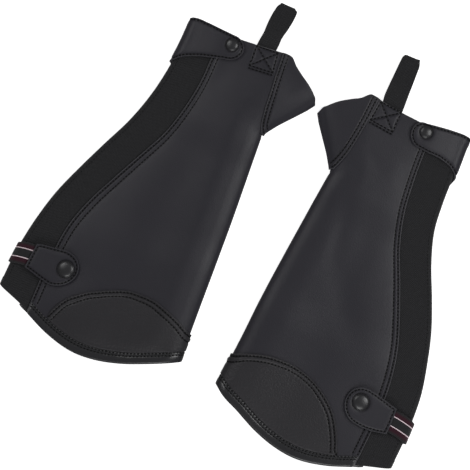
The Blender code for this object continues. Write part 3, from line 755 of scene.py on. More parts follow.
def leather(name, colour, cut_edge, grain, depth, roughness, specular, cloud):
    """Leather under a thin film of lacquer: cells of grain with pores in them, and cloudy dye.

    Painted shade darkens it in the grooves of its stitches and round snap caps, and it is pale where its
    fibres show at a cut edge.
    """
    cloud_width, painted_shade_share, edge_pale, pore_share = 0.06, 0.7, 0.8, 0.35
    material, tree, shader = begin(name, Roughness=roughness, Specular_IOR_Level=specular)
    place = add(tree, "ShaderNodeTexCoord", give="Object")
    tone = add(tree, "ShaderNodeTexNoise", {"Vector": place, "Scale": 1 / cloud_width, "Detail": 2.0})
    tone = add(tree, "ShaderNodeMix", {0: tone, 6: rgba(colour, 1 - cloud), 7: rgba(colour, 1 + cloud)},
               give=2, data_type="RGBA")
    # Painted shade: the colour is mixed toward black in the stitch grooves and round the snap caps; cut edges
    # turn pale
    for attribute, share, other in (("press", painted_shade_share, BLACK), ("edge", edge_pale, rgba(cut_edge))):
        near = add(tree, "ShaderNodeAttribute", give="Fac", attribute_name=attribute)
        near = add(tree, "ShaderNodeMath", {0: near, 1: share}, operation="MULTIPLY")
        tone = add(tree, "ShaderNodeMix", {0: near, 6: tone, 7: other}, give=2, data_type="RGBA")
    tree.links.new(tone, shader.inputs["Base Color"])
    cells = {"Vector": place, "Scale": 1 / grain, "Smoothness": 0.3}
    pebbles = add(tree, "ShaderNodeTexVoronoi", cells, give="Distance", feature="SMOOTH_F1")
    pores = add(tree, "ShaderNodeTexNoise", {"Vector": place, "Scale": 3 / grain, "Detail": 3.0})
    height = add(tree, "ShaderNodeMath", {0: pores, 1: pore_share, 2: pebbles}, operation="MULTIPLY_ADD")
    bump = add(tree, "ShaderNodeBump", {"Height": height, "Distance": depth * MM})
    tree.links.new(bump, shader.inputs["Normal"])
    return material


def ribbed(name, colour, rib, cord, depth, roughness, stripes=None):
    """A narrow weave on its own cut: ribs across the band, fine cords along it, and flecks of yarn."""
    fleck, rib_share, fleck_share = 0.0012, 0.4, 0.8
    material, tree, shader = begin(
        name, Roughness=roughness, Specular_IOR_Level=0.25, Sheen_Weight=0.12, Sheen_Roughness=0.5)
    cut = add(tree, "ShaderNodeUVMap", uv_map="cut")
    across, along, _ = add(tree, "ShaderNodeSeparateXYZ", {0: cut}).node.outputs
    place = add(tree, "ShaderNodeTexCoord", give="Object")
    waves = []
    for ran, pitch in ((along, rib), (across, cord * MM)):
        turns = add(tree, "ShaderNodeMath", {0: ran, 1: 2 * pi / pitch}, operation="MULTIPLY")
        waves.append(add(tree, "ShaderNodeMath", {0: turns}, operation="SINE"))
    checks = add(tree, "ShaderNodeMath", dict(enumerate(waves)), operation="MULTIPLY")
    flecks = add(tree, "ShaderNodeTexNoise", {"Vector": place, "Scale": 1 / fleck, "Detail": 2.0})
    height = add(tree, "ShaderNodeMath", {0: waves[0], 1: rib_share, 2: checks}, operation="MULTIPLY_ADD")
    height = add(tree, "ShaderNodeMath", {0: flecks, 1: fleck_share, 2: height}, operation="MULTIPLY_ADD")
    if stripes:
        shade = {0: checks, 1: 0.2, 2: 0.1}
        first, second = stripes(tree, across), BLACK
    else:
        shade = {0: checks, 1: 0.5, 2: flecks}
        first, second = rgba(colour, 0.4), rgba(colour, 1.6)
    shade = add(tree, "ShaderNodeMath", shade, operation="MULTIPLY_ADD")
    tone = add(tree, "ShaderNodeMix", {0: shade, 6: first, 7: second}, give=2, data_type="RGBA")
    tree.links.new(tone, shader.inputs["Base Color"])
    bump = add(tree, "ShaderNodeBump", {"Height": height, "Distance": depth * MM})
    tree.links.new(bump, shader.inputs["Normal"])
    return material


def strap_stripes(black, wine, pale):
    """Colours across the calf strap: black edges that turn wine, two pale lines and a black middle."""
    whole = 24.0 * MM
    stops = (
        (1.0, black), (3.6, wine), (6.3, wine), (6.4, pale), (7.2, pale), (7.3, black),
        (15.9, black), (16.0, pale), (16.8, pale), (16.9, wine), (19.8, wine), (22.8, black),
    )

    def build(tree, across):
        share = add(tree, "ShaderNodeMath", {0: across, 1: whole}, operation="DIVIDE")
        ramp = add(tree, "ShaderNodeValToRGB", {0: share})
        elements = ramp.node.color_ramp.elements
        elements.remove(elements[-1])
        elements[0].color = rgba(black)
        for stop, tint in stops:
            elements.new(stop * MM / whole).color = rgba(tint)
        return ramp

    return build


def plain(name, colour, roughness, metallic=0.0, specular=0.5, scratch=0.0):
    """A hard or threadlike finish: one colour, with its gloss a little uneven and fine marks in it."""
    haze_width, haze_share, mark = 0.004, 0.12, 0.0008
    material, tree, shader = begin(
        name, Base_Color=rgba(colour), Metallic=metallic, Specular_IOR_Level=specular)
    place = add(tree, "ShaderNodeTexCoord", give="Object")
    haze = add(tree, "ShaderNodeTexNoise", {"Vector": place, "Scale": 1 / haze_width, "Detail": 3.0})
    gloss = add(tree, "ShaderNodeMath", {0: haze, 1: haze_share, 2: roughness - haze_share / 2},
                operation="MULTIPLY_ADD")
    tree.links.new(gloss, shader.inputs["Roughness"])
    marks = add(tree, "ShaderNodeTexNoise", {"Vector": place, "Scale": 1 / mark, "Detail": 2.0})
    bump = add(tree, "ShaderNodeBump", {"Height": marks, "Distance": scratch * MM})
    tree.links.new(bump, shader.inputs["Normal"])
    return material


def new_tree(name, inputs):
    """A Geometry Nodes tree with a geometry in and out and these named inputs."""
    tree = bpy.data.node_groups.new(name, "GeometryNodeTree")
    tree.interface.new_socket("Geometry", in_out="INPUT", socket_type="NodeSocketGeometry")
    tree.interface.new_socket("Geometry", in_out="OUTPUT", socket_type="NodeSocketGeometry")
    for label, kind in inputs:
        tree.interface.new_socket(label, in_out="INPUT", socket_type=f"NodeSocket{kind}")
    return tree, tree.nodes.new("NodeGroupInput").outputs, tree.nodes.new("NodeGroupOutput").inputs[0]


def row_tree():
    """Thread or coil along a line: one rounded bead per pitch, laid on the surface, its ends drawn down."""
    sizes = [(name, "Float") for name in ("Pitch", "Length", "Width", "Height", "Dip", "Turn")]
    tree, given, result = new_tree("beads on a line", [*sizes, ("Material", "Material")])
    line = add(tree, "GeometryNodeMeshToCurve", {"Mesh": given["Geometry"]})
    points = add(tree, "GeometryNodeResampleCurve", {"Curve": line, "Length": given["Pitch"]}, mode="LENGTH")
    tangent = add(tree, "GeometryNodeInputTangent")
    outs = add(tree, "GeometryNodeInputNamedAttribute", {"Name": "out"}, data_type="FLOAT_VECTOR")
    along = add(tree, "FunctionNodeAlignRotationToVector", {"Vector": tangent}, axis="X")
    upright = add(tree, "FunctionNodeAlignRotationToVector", {"Rotation": along, "Vector": outs},
                  axis="Z", pivot_axis="X")
    spin = add(tree, "ShaderNodeCombineXYZ", {"Z": given["Turn"]})
    turn = add(tree, "FunctionNodeEulerToRotation", {0: spin})
    lie = add(tree, "FunctionNodeRotateRotation", {0: upright, 1: turn}, rotation_space="LOCAL")
    bead = add(tree, "GeometryNodeMeshUVSphere", {"Segments": 8, "Rings": 6, "Radius": 1.0})
    x, y, z = add(tree, "ShaderNodeSeparateXYZ", {0: add(tree, "GeometryNodeInputPosition")}).node.outputs
    square = add(tree, "ShaderNodeMath", {0: x, 1: x}, operation="MULTIPLY")
    drop = add(tree, "ShaderNodeMath", {0: square, 1: given["Dip"]}, operation="MULTIPLY")
    shape = []
    for axis, size in ((x, "Length"), (y, "Width"), (z, "Height")):
        half = add(tree, "ShaderNodeMath", {0: given[size], 1: 0.5}, operation="MULTIPLY")
        shape.append(add(tree, "ShaderNodeMath", {0: axis, 1: half}, operation="MULTIPLY"))
    shape[2] = add(tree, "ShaderNodeMath", {0: shape[2], 1: drop}, operation="SUBTRACT")
    shape = add(tree, "ShaderNodeCombineXYZ", dict(enumerate(shape)))
    bead = add(tree, "GeometryNodeSetPosition", {"Geometry": bead, "Position": shape})
    beads = add(tree, "GeometryNodeInstanceOnPoints", {"Points": points, "Instance": bead, "Rotation": lie})
    real = add(tree, "GeometryNodeRealizeInstances", {"Geometry": beads})
    finished = add(tree, "GeometryNodeSetMaterial", {"Geometry": real, "Material": given["Material"]})
    tree.links.new(finished, result)
    return tree


def through_tree(piece, tree, **values):
    """Runs a tree on a piece and keeps the result as its plain mesh."""
    modifier = piece.modifiers.new(tree.name, "NODES")
    modifier.node_group = tree
    for item in tree.interface.items_tree:
        if item.in_out == "INPUT" and item.name in values:
            modifier[item.identifier] = values[item.name]
    graph = bpy.context.evaluated_depsgraph_get()
    made = bpy.data.meshes.new_from_object(piece.evaluated_get(graph), depsgraph=graph)
    piece.modifiers.clear()
    piece.data = made
    made.shade_smooth()
    return piece


def line_object(name, skin, rows):
    """Rows as edges of one mesh, with the way out kept at each point."""
    points, outs, edges = [], [], []
    for row in rows:
        first = sum(len(p) for p in points)
        points.append(row.points)
        outs.append(row.outs)
        edges += [(first + k, first + k + 1) for k in range(len(row.points) - 1)]
    mesh = bpy.data.meshes.new(name)
    mesh.from_pydata(placed(skin, np.concatenate(points)).tolist(), edges, [])
    attribute = mesh.attributes.new("out", "FLOAT_VECTOR", "POINT")
    turned = placed(skin, np.concatenate(outs), moved=False)
    attribute.data.foreach_set("vector", turned.astype(np.float32).ravel())
    return add_object(name, mesh)


# ---------------------------------------------------------------- lines of stitches


def seam_rows(skin):
    """The two rows that hold the shaft's leather down over the elastic."""
    hems = [skin.along(skin.lines(np.array([share]))["seam"], np.array([share]))[0] for share in (0.0, 1.0)]
    along = np.linspace(hems[0] - BINDING_WIDTH - 1.5, hems[1] + 2, 150)
    line = np.stack([skin.side_line("seam", along), along], -1)
    second = through(SEAM_SECOND["along"], SEAM_SECOND[skin.chap], along)[:, None]
    return [skin.row(*offset(line, -inside).T) for inside in (ROWS_IN[0], second)]


def instep_rows(skin):
    """The two rows along the instep piece's cut edge."""
    share = np.linspace(FLAP_START[skin.chap] + 0.005, 0.995, 90)
    across = skin.lines(share)["flap"]
    line = np.stack([across, skin.along(across, share)], -1)
    rows = []
    for inside in ROWS_IN:
        moved = offset(line, -inside)
        fold = skin.fold(skin.share_at(*moved.T))[0]
        moved = moved[moved[:, 0] > fold + 1.2]
        rows.append(skin.row(*moved.T))
    return rows


def box_rows(skin):
    """The square with a cross that holds the stirrup's upper end, and a second row below it."""
    a, b, c, d = (np.array(corner) for corner in BOX_STITCH[skin.chap])
    lower = unit((c + d - a - b)[None])[0] * 2.6
    rows = []
    for start, end in ((a, b), (b, c), (c, d), (d, a), (a, c), (b, d), (c + lower, d + lower)):
        part = np.linspace(0.02, 0.98, 24)[:, None]
        rows.append(skin.row(*(start + (end - start) * part).T).lifted(0.2))
    return rows


def ring_row(skin, columns, far):
    """A row at these distances up from the calf hem, all along these columns."""
    far = np.asarray(far, float)[:, None] + np.array([-0.4, 0.0, 0.4])
    sheet = Sheet(skin, columns, shares_from_hem(skin, columns, far))
    return Row(sheet.points[:, 1], sheet.outs[:, 1])


def patch_columns():
    return [
        *beside(TOP, "patch_end", [0.0]),
        *run(TOP, "patch_end", "near_6", 112),
        *run(TOP, "near_6", "near_4", 14),
        *run(TOP, "near_4", "fold", 7),
        *run(UNDER, "fold", "near_4", 5),
        *run(UNDER, "near_4", "wrap", 16),
    ]


def patch_rises(skin, columns):
    """How far the half moon's edge stands over the calf hem, column by column."""
    share = np.array([0.1])
    lines = skin.lines(share)
    places = [column.side * (lines[column.start] + (lines[column.end] - lines[column.start]) * column.part)
              for column in columns]
    places = np.concatenate(places)
    return places, through(HALF_MOON["from_shin"], HALF_MOON[f"{skin.chap}_rise"], places)


def patch_rows(skin):
    """The two rows inside the half moon's edge."""
    columns = patch_columns()
    places, rises = patch_rises(skin, columns)
    slope = np.gradient(rises) / np.gradient(places)
    rows = []
    for inside in MOON_ROWS_IN:
        far = rises - inside * np.sqrt(1 + slope**2)
        kept = far > BINDING_WIDTH + 1.5
        rows.append(ring_row(skin, [c for c, keep in zip(columns, kept) if keep], far[kept]))
    return rows


def binding_columns():
    return [
        *beside(TOP, "seam", [-1.0]),
        *[line._replace(shift=line.part - 1.0) for line in run(TOP, "seam", "near_6", 84)],
        *run(TOP, "near_6", "near_4", 10),
        *run(TOP, "near_4", "fold", 8),
        *run(UNDER, "fold", "near_4", 6),
        *run(UNDER, "near_4", "near_5", 4),
        *[line._replace(shift=-line.part) for line in run(UNDER, "near_5", "leather_edge", 44)],
    ]


def elastic_rows(skin):
    """The rows that hold the elastic's turned hem, and its fell along the back edge."""
    columns = [*run(TOP, "seam", "back", 40, 0.04, 0.97)]
    hem = ring_row(skin, columns, np.full(len(columns), ELASTIC_HEM_ROW))
    along = np.linspace(CALF_BACK - 14, ANKLE_BACK[skin.chap] + 8, 150)
    across = skin.side_line("back", along) + LAP - FELL_IN
    return [hem, skin.row(across, along)]


def coil_rows(skin):
    """The two sides of the zip's coil, in the slot under the back edge."""
    along = np.linspace(CALF_BACK - 6, SLIDER_ALONG[skin.chap] + 6, 150)
    middle = skin.side_line("back", along) + LAP - SLOT_MIDDLE
    return [skin.row(middle + shift, along + 0.35 * shift, UNDER) for shift in (-1.0, 1.0)]


# ---------------------------------------------------------------- panels


def make_shaft(skin, sizes, material):
    """The leather shaft, from its seam over the elastic round the shin to the zip."""
    seam_zone = beside(TOP, "seam", [-d for d in spaced((3.2, 0.53), (9.2, 0.75), (16, 1.7))])
    start = seam_zone[-1].shift
    middle = [*run(TOP, "seam", "near_6", 9, 0.0, 0.6), *run(TOP, "seam", "near_6", 14, 0.6, 1.0)]
    columns = [
        *seam_zone,
        *[line._replace(shift=start * (1 - line.part)) for line in middle],
        *run(TOP, "near_6", "near_5", 12),
        *run(TOP, "near_5", "near_4", 9),
        *run(TOP, "near_4", "opening", 6),
        *run(TOP, "opening", "fold", 7),
        *run(UNDER, "fold", "opening", 6),
        *run(UNDER, "opening", "near_4", 4),
        *run(UNDER, "near_4", "wrap", 8),
        *run(UNDER, "wrap", "leather_edge", 20, 0.0, 0.92),
        *run(UNDER, "wrap", "leather_edge", 10, 0.92, 1.0),
    ]
    shares = np.concatenate([
        np.linspace(0, 0.03, 5)[:-1],
        np.linspace(0.03, INSTEP_SHARE, 74)[:-1],
        np.linspace(INSTEP_SHARE, 0.9, 16)[:-1],
        np.linspace(0.9, 1, 44),
    ])
    sheet = Sheet(skin, columns, shares)
    names = [(c.side, c.end, round(c.part, 3)) for c in columns]
    first, last = names.index((TOP, "opening", 1.0)), names.index((UNDER, "opening", 1.0))
    cells = np.ones((len(columns) - 1, len(shares) - 1), bool)
    cells[first:last, shares[:-1] >= 0.84] = False
    rows, box = seam_rows(skin), box_rows(skin)
    add_swell(sheet)
    puff(sheet, (rows[0].points + rows[1].points) / 2, sizes.puff / MM, SEAM_PUFF)
    trough(sheet, rows, sizes.draw / MM)
    add_box_relief(sheet, skin, box, sizes)
    return sheet.wall("leather_shaft", 0, LEATHER, material, cells=cells)


def add_box_relief(sheet, skin, rows, sizes):
    """The leather stands up over the stirrup's end, and is drawn in by the box's stitches, with painted shade
    in their grooves.
    """
    corners = np.array(BOX_STITCH[skin.chap])
    plan = sheet.points[..., :2]
    inside = np.full(plan.shape[:2], 1e9)
    for start, end in zip(corners, np.roll(corners, -1, 0)):
        way = (end - start) / np.linalg.norm(end - start)
        inside = np.minimum(inside, -np.cross(way, plan - start) * np.sign(box_turn(corners)))
    over = smoothstep((inside + 0.5) / 1.5) * sheet.top
    near = np.min([distance_to(sheet.points, row.points) for row in rows], 0)
    sheet.rise += over * (BOX_LIFT + sizes.puff / MM * smoothstep(near / INSTEP_PUFF))
    pressed = np.exp(-((near / BOX_DRAWN) ** 2))
    sheet.rise -= sizes.draw / MM * pressed
    # Painted shade: the leather's colour is darkened along the box's stitch grooves
    sheet.press = np.maximum(sheet.press, pressed)


def box_turn(corners):
    """Negative where the corners run so that their inside lies to the right."""
    return -np.cross(corners[1] - corners[0], corners[2] - corners[1])


# Soft creases of the shaft: where the middle is, the length and half width, the turn from the along
# direction, and the depth, which is below 0 for a ridge
CREASES = {
    "left": table(
        "across along length width turn depth",
        (14, 6, 44, 5, 52, 0.45),
        (24, -22, 40, 6, 70, 0.3),
        (58, -40, 46, 8, 20, 0.35),
        (60, 60, 120, 16, 8, 0.6),
        (92, 120, 90, 12, -22, -0.4),
        (50, 150, 100, 14, 4, -0.3),
        (118, 150, 60, 7, -30, 0.35),
    ),
    "right": table(
        "across along length width turn depth",
        (10, 2, 36, 4, 58, 0.4),
        (16, -10, 30, 4, 42, -0.3),
        (30, -34, 44, 7, 60, 0.3),
        (36, 42, 120, 9, 15, 0.75),
        (81, 112, 140, 12, 41, 0.75),
        (80, 60, 110, 12, -4, -0.35),
        (56, -30, 50, 9, 12, -0.25),
    ),
}


def swell(skin, across, along, share):
    """How far the top leather stands up between its seams, with soft troughs and ridges where it was bent."""
    lines = skin.lines(share)
    length = CALF_BACK - ANKLE_BACK[skin.chap]
    height, soon = SWELL[skin.chap]
    full = 1 - np.exp(-np.maximum(lines["seam"] - across - SWELL_SEAM_CLEAR, 0) / soon)
    full *= smoothstep((across - lines["fold"] - SWELL_FOLD_CLEAR) / SWELL_FOLD_GROW)
    full *= 1 - np.exp(-np.maximum(share * length - SWELL_CALF_CLEAR, 0) / SWELL_CALF_GROW)
    full *= smoothstep(((1 - share) * length - SWELL_ANKLE_CLEAR) / SWELL_ANKLE_GROW)
    for snap in SNAPS.values():
        reach, place = snap[skin.chap]
        seat = skin.side_line("back", place) + LAP - reach
        full *= 1 - np.exp(-(np.hypot(across - seat, along - place) / SNAP_HOLDS) ** 2)
    rise = height * full
    for middle, place, long, width, turn, depth in zip(*CREASES[skin.chap].values()):
        way = sin(radians(turn)), cos(radians(turn))
        far = (across - middle) * way[0] + (along - place) * way[1]
        aside = (across - middle) * way[1] - (along - place) * way[0]
        fade = np.clip(1 - (2 * far / long) ** 2, 0, 1) ** 2
        rise -= depth * fade * np.exp(-((aside / width) ** 2))
    return rise


def add_swell(sheet):
    """Raises a sheet's top side as its leather stands up."""
    sheet.rise += sheet.top * swell(sheet.skin, sheet.points[..., 0], sheet.points[..., 1], sheet.shares)


def on_swell(skin, row):
    """A row of stitches raised with the leather under it, on the top side."""
    across, along = row.points[:, 0], row.points[:, 1]
    rise = swell(skin, across, along, skin.share_at(across, along)) * (row.outs[:, 2] > 0)
    return row.lifted(rise[:, None])


def make_instep(skin, sizes, material):
    """The instep piece, folded at the instep and lapped over the shaft."""
    columns = [
        *beside(TOP, "flap", [0.0]),
        *run(TOP, "flap", "near_2", 26, 0.0, 0.4),
        *run(TOP, "flap", "near_2", 16, 0.4, 1.0),
        *run(TOP, "near_2", "near_0", 8),
        *run(TOP, "near_0", "fold", 4),
        *run(UNDER, "fold", "near_0", 4),
        *run(UNDER, "near_0", "near_2", 5),
        *run(UNDER, "near_2", "flap", 18),
    ]
    sheet = Sheet(skin, columns, np.linspace(FLAP_START[skin.chap], 1, 78))
    add_swell(sheet)
    rows = instep_rows(skin)
    short = min(len(row.points) for row in rows)
    middle = (rows[0].points[-short:] + rows[1].points[-short:]) / 2
    puff(sheet, middle, sizes.puff / MM, INSTEP_PUFF)
    trough(sheet, rows, sizes.draw / MM)
    return sheet.wall("instep_piece", -LAP, -GAP, material, pale=0.6)


def make_patch(skin, sizes, material):
    """The half moon of pebbled leather, wrapped round the shin at the calf end."""
    columns = patch_columns()
    rises = patch_rises(skin, columns)[1]
    low = BINDING_WIDTH + SLANT_GAP
    rises = np.maximum(rises, low + 1.0)
    far = low + (rises - low)[:, None] * (1 - (1 - np.linspace(0, 1, 62)) ** 1.25)
    sheet = Sheet(skin, columns, shares_from_hem(skin, columns, far))
    add_swell(sheet)
    rows = patch_rows(skin)
    puff(sheet, mean_line(rows), sizes.puff / MM, MOON_PUFF)
    trough(sheet, rows, sizes.draw / MM)
    return sheet.wall("half_moon_patch", -LAP, -GAP, material, pale=0.15)


def mean_line(rows):
    """A line halfway between two rows, by the nearest points of the second."""
    first, second = rows[0].points, rows[1].points
    nearest = np.linalg.norm(first[:, None] - second[None], axis=-1).argmin(1)
    return (first + second[nearest]) / 2


def binding_rows(skin, columns):
    """The two rows through the binding."""
    return [ring_row(skin, columns, np.full(len(columns), up)) for up in BINDING_ROWS]


def make_binding(skin, material):
    """A strip folded over the leather's calf hem, turned under and stitched."""
    columns = binding_columns()
    outside = BINDING_WIDTH * (1 - np.linspace(0, 1, 16) ** 0.9)
    far = np.broadcast_to(outside, (len(columns), len(outside)))
    sheet = Sheet(skin, columns, shares_from_hem(skin, columns, far))
    ran = sheet.cut[..., 0]
    waves = np.sin(ran / 2.3 + 2 * np.sin(ran / 9.1)) + np.sin(ran / 5.7 + 1.3 * np.sin(ran / 17))
    sheet.rise += (0.15 + 0.05 * waves) * np.sin(pi * np.clip(outside / BINDING_ROWS[0], 0, 1))
    trough(sheet, binding_rows(skin, columns), 0.2, 0.7)
    half = BINDING / 2
    deep_out, deep_in = -GAP - half, LAP + half
    outer_leg, inner_leg = sheet.at_depth(deep_out), (sheet.points - sheet.outs * deep_in)[:, ::-1]
    hem, out = sheet.points[:, -1], sheet.outs[:, -1]
    over = unit(sheet.points[:, -1] - sheet.points[:, -2])
    radius = (deep_in - deep_out) / 2
    middle = hem - out * (deep_in + deep_out) / 2
    bend = [middle + radius * (out * cos(a) + over * sin(a)) for a in np.linspace(0, pi, 12)[1:-1]]
    path = np.concatenate([outer_leg, np.stack(bend, 1), inner_leg], 1)
    outs = unit(np.cross(np.gradient(path, axis=0), np.gradient(path, axis=1)))
    outs *= np.sign((outs[:, 0] * sheet.outs[:, 0]).sum())
    cut = np.stack([lengths(path, 0), lengths(path, 1)], -1)
    name = f"{skin.chap}_calf_binding"
    # Painted shade of the stitch grooves, on the binding's outer leg only
    press = np.zeros(path.shape[:2])
    press[:, : len(outside)] = sheet.press
    outer, inner = path + outs * half, path - outs * half
    return make_wall(name, skin, outer, inner, cut, material, soften=0.5, press=press)


def make_elastic(skin, material):
    """The elastic calf panel, from under the leather round the back edge to the zip."""
    columns = [
        *beside(TOP, "seam", [-TUCK]),
        *beside(TOP, "seam", [-d for d in (6, 4, 2, 0.5, 0.0)]),
        *run(TOP, "seam", "back", 22, 0.0, 0.86),
        *run(TOP, "seam", "back", 10, 0.86, 1.0),
        *run(UNDER, "back", "elastic_edge", 16),
    ]
    shares = np.concatenate([np.linspace(0, 0.05, 18)[:-1], np.linspace(0.05, 1, 96)])
    sheet = Sheet(skin, columns, shares)
    hem = sheet.cut[..., 1]
    sheet.rise += 0.35 * (1 - smoothstep((hem - ELASTIC_HEM) / 0.8))
    back = next(k for k, c in enumerate(columns) if c.end == "back" and c.part == 1.0)
    from_back = distance_to(sheet.points, sheet.points[back, ::6])
    fell = (np.array([c.side for c in columns]) == TOP)[:, None] * (hem > 9)
    sheet.rise -= fell * 0.22 * np.exp(-(((from_back - FELL_IN) / DRAWN) ** 2))
    cells = np.ones((len(columns) - 1, len(shares) - 1), bool)
    under_binding = np.array([c.shift <= 0 and c.part == 0 for c in columns])[:-1]
    tucked = np.arange(len(columns) - 1) < 5
    bound = hem[:-1, :-1] < BINDING_WIDTH + SLANT_GAP
    cells[(tucked & under_binding)[:, None] & bound] = False
    name = f"{skin.chap}_elastic_panel"
    outer, inner = sheet.at_depth(LAP), sheet.points - sheet.outs * (LAP + ELASTIC)
    return make_wall(name, skin, outer, inner, sheet.cut, material, cells, soften=0.3)


def make_tape(skin, material):
    """The zip's woven tape, behind the slot between the leather and the elastic."""
    columns = [*beside(UNDER, "leather_edge", [-TUCK]), *run(UNDER, "leather_edge", "elastic_edge", 20)]
    columns = [line._replace(shift=-TUCK + 2 * TUCK * line.part) for line in columns]
    deep = LAP + ELASTIC + GAP
    sheet = Sheet(skin, columns, np.linspace(0, 1, 90))
    return sheet.wall("zip_tape_cloth", deep, deep + TAPE, material, soften=0.2)


def tab_outline(rows, tip):
    """Reach, edges and stand of a tab, from the end of its round tip or straight end."""
    order = rows["reach"].argsort()
    knots = rows["reach"][order]
    body = np.array(spaced((knots[-1] - knots[0], 1.0)))
    reach = knots[-1] - body
    near, far, stand = (through(knots, rows[name][order], reach) for name in ("near", "far", "stand"))
    if tip:
        angle = np.radians(np.concatenate([np.linspace(4, 30, 9), np.linspace(34, 86, 14)]))
        middle, half = (near[0] + far[0]) / 2, (far[0] - near[0]) / 2
        reach = np.append(reach[0] + tip * np.cos(angle), reach)
        near = np.append(middle - half * np.sin(angle), near)
        far = np.append(middle + half * np.sin(angle), far)
        stand = np.append(np.full(len(angle), stand[0]), stand)
    return reach, near, far, stand


class Strip:
    """A tab or strap that stands off the skin and wraps round the back edge."""

    def __init__(self, skin, rows, tip, thickness, width=30):
        self.skin, self.thickness = skin, thickness
        self.reach, near, far, self.stand = tab_outline(rows, tip)
        part = (1 - np.cos(np.linspace(0, pi, width))) / 2
        self.along = near[:, None] + (far - near)[:, None] * part
        self.points = self.level(0)
        self.outs = unit(self.level(1) - self.level(0))
        # How far the strip stands up, and how much painted shade darkens its colour in grooves and round its
        # snap
        self.rise, self.press = np.zeros(self.points.shape[:2]), np.zeros(self.points.shape[:2])
        self.cut = np.stack([lengths(self.points, 1), lengths(self.points, 0)], -1)
        self.near, self.far = near, far

    def level(self, more):
        return self.skin.back_ring(self.reach[:, None], self.along, self.stand[:, None] + more)

    def outline(self, inside, reach_low, closed):
        """A row this far inside the outline, down to a reach."""
        kept = self.reach >= reach_low
        reach, near, far = self.reach[kept], self.near[kept], self.far[kept]
        line = np.concatenate([np.stack([reach, far], -1)[::-1], np.stack([reach, near], -1)])
        moved = offset(line, -inside)
        if closed:
            moved = moved[moved[:, 0] > reach_low + inside]
            moved = np.concatenate([moved, moved[:1]])
        moved = resampled(moved, 0.9)
        order = self.reach.argsort()
        stand = np.interp(moved[:, 0], self.reach[order], self.stand[order])
        low, high = (self.skin.back_ring(moved[:, 0], moved[:, 1], stand + more) for more in (0, 1))
        return Row(low, unit(high - low))


def resampled(line, step):
    """The same line with its points evenly spaced."""
    ran = lengths(line, 0)
    at = np.linspace(0, ran[-1], max(int(ran[-1] / step), 2))
    return np.stack([np.interp(at, ran, line[:, k]) for k in range(line.shape[1])], -1)


def make_tab(name, strip, rows, snap, sizes, material):
    """A leather tab, drawn in along its edge stitches and pressed down round its snap, with painted shade in
    its stitch groove and in a ring round the snap's cap.
    """
    trough(strip, rows, sizes.draw / MM)
    near = np.min([distance_to(strip.points, row.points) for row in rows], 0)
    strip.rise += 0.25 * smoothstep(near / 4)
    seat, radius = snap
    from_snap = np.linalg.norm(strip.points - seat, axis=-1) - radius
    strip.rise -= 0.5 * np.exp(-((from_snap / 1.8) ** 2)) + 0.3 * (from_snap < 0)
    # Painted shade: a dark ring in the leather's colour just outside the snap's cap, standing in for its
    # contact shadow
    strip.press = np.maximum(strip.press, 0.9 * np.exp(-(((from_snap - 0.4) / 0.9) ** 2)))
    outer = strip.points + strip.outs * (strip.thickness + strip.rise)[..., None]
    outer[..., 2] = np.maximum(outer[..., 2], FLOOR_GAP)
    return make_wall(name, strip.skin, outer, strip.points, strip.cut, material, press=strip.press, pale=0.25)


def snap_seat(strip, skin, name):
    """Where a snap goes through its tab, on the tab's outer face, and the way out there."""
    reach, along = SNAPS[name][skin.chap]
    stand = np.interp(reach, strip.reach[::-1], strip.stand[::-1])
    low, high = (skin.back_ring(reach, along, stand + more) for more in (0, 1))
    return low, unit((high - low)[None])[0]


def stirrup_edge(skin, edge):
    """One edge of the stirrup: out from behind the top layer, over a fold, and back underneath."""
    lie = STIRRUPS[skin.chap]
    shifts = STIRRUP_EDGES[f"{skin.chap}_{edge}"]
    steps = np.linspace(0.06, 1, 22)
    across = lie["root"] + through(STIRRUP_EDGES["step"], shifts, steps)
    sewn = lie["root"] + shifts[0]
    hem = float(skin.along(lie["root"], np.array(1.0)))
    half = ELASTIC / 2
    tip = hem - lie[edge] + STIRRUP_BEND + half
    rest = half + 2 * STIRRUP_BEND
    inside = hem + STIRRUP_IN * np.linspace(1, 0.05, 8)
    outside = hem + (tip - hem) * steps
    top = skin.height(TOP, sewn, skin.share_at(sewn, inside)) - LAP - 0.2 - half
    path = [(sewn, v, z) for v, z in zip(inside, top)]
    path += zip(across, outside, top[-1] + (rest - top[-1]) * smoothstep(steps / 0.6))
    path += [(across[-1], tip - STIRRUP_BEND * sin(a), rest - STIRRUP_BEND * (1 - cos(a)))
             for a in np.linspace(0, pi, 12)[1:-1]]
    under = REST_LIFT + LAP + 0.2 + half
    levels = half + (under - half) * (1 - smoothstep(steps / 0.5))
    path += zip((across + lie["under_shift"] * steps)[::-1], outside[::-1], levels[::-1])
    path += [(sewn, v, under) for v in inside[::-1]]
    return np.array(path), tip


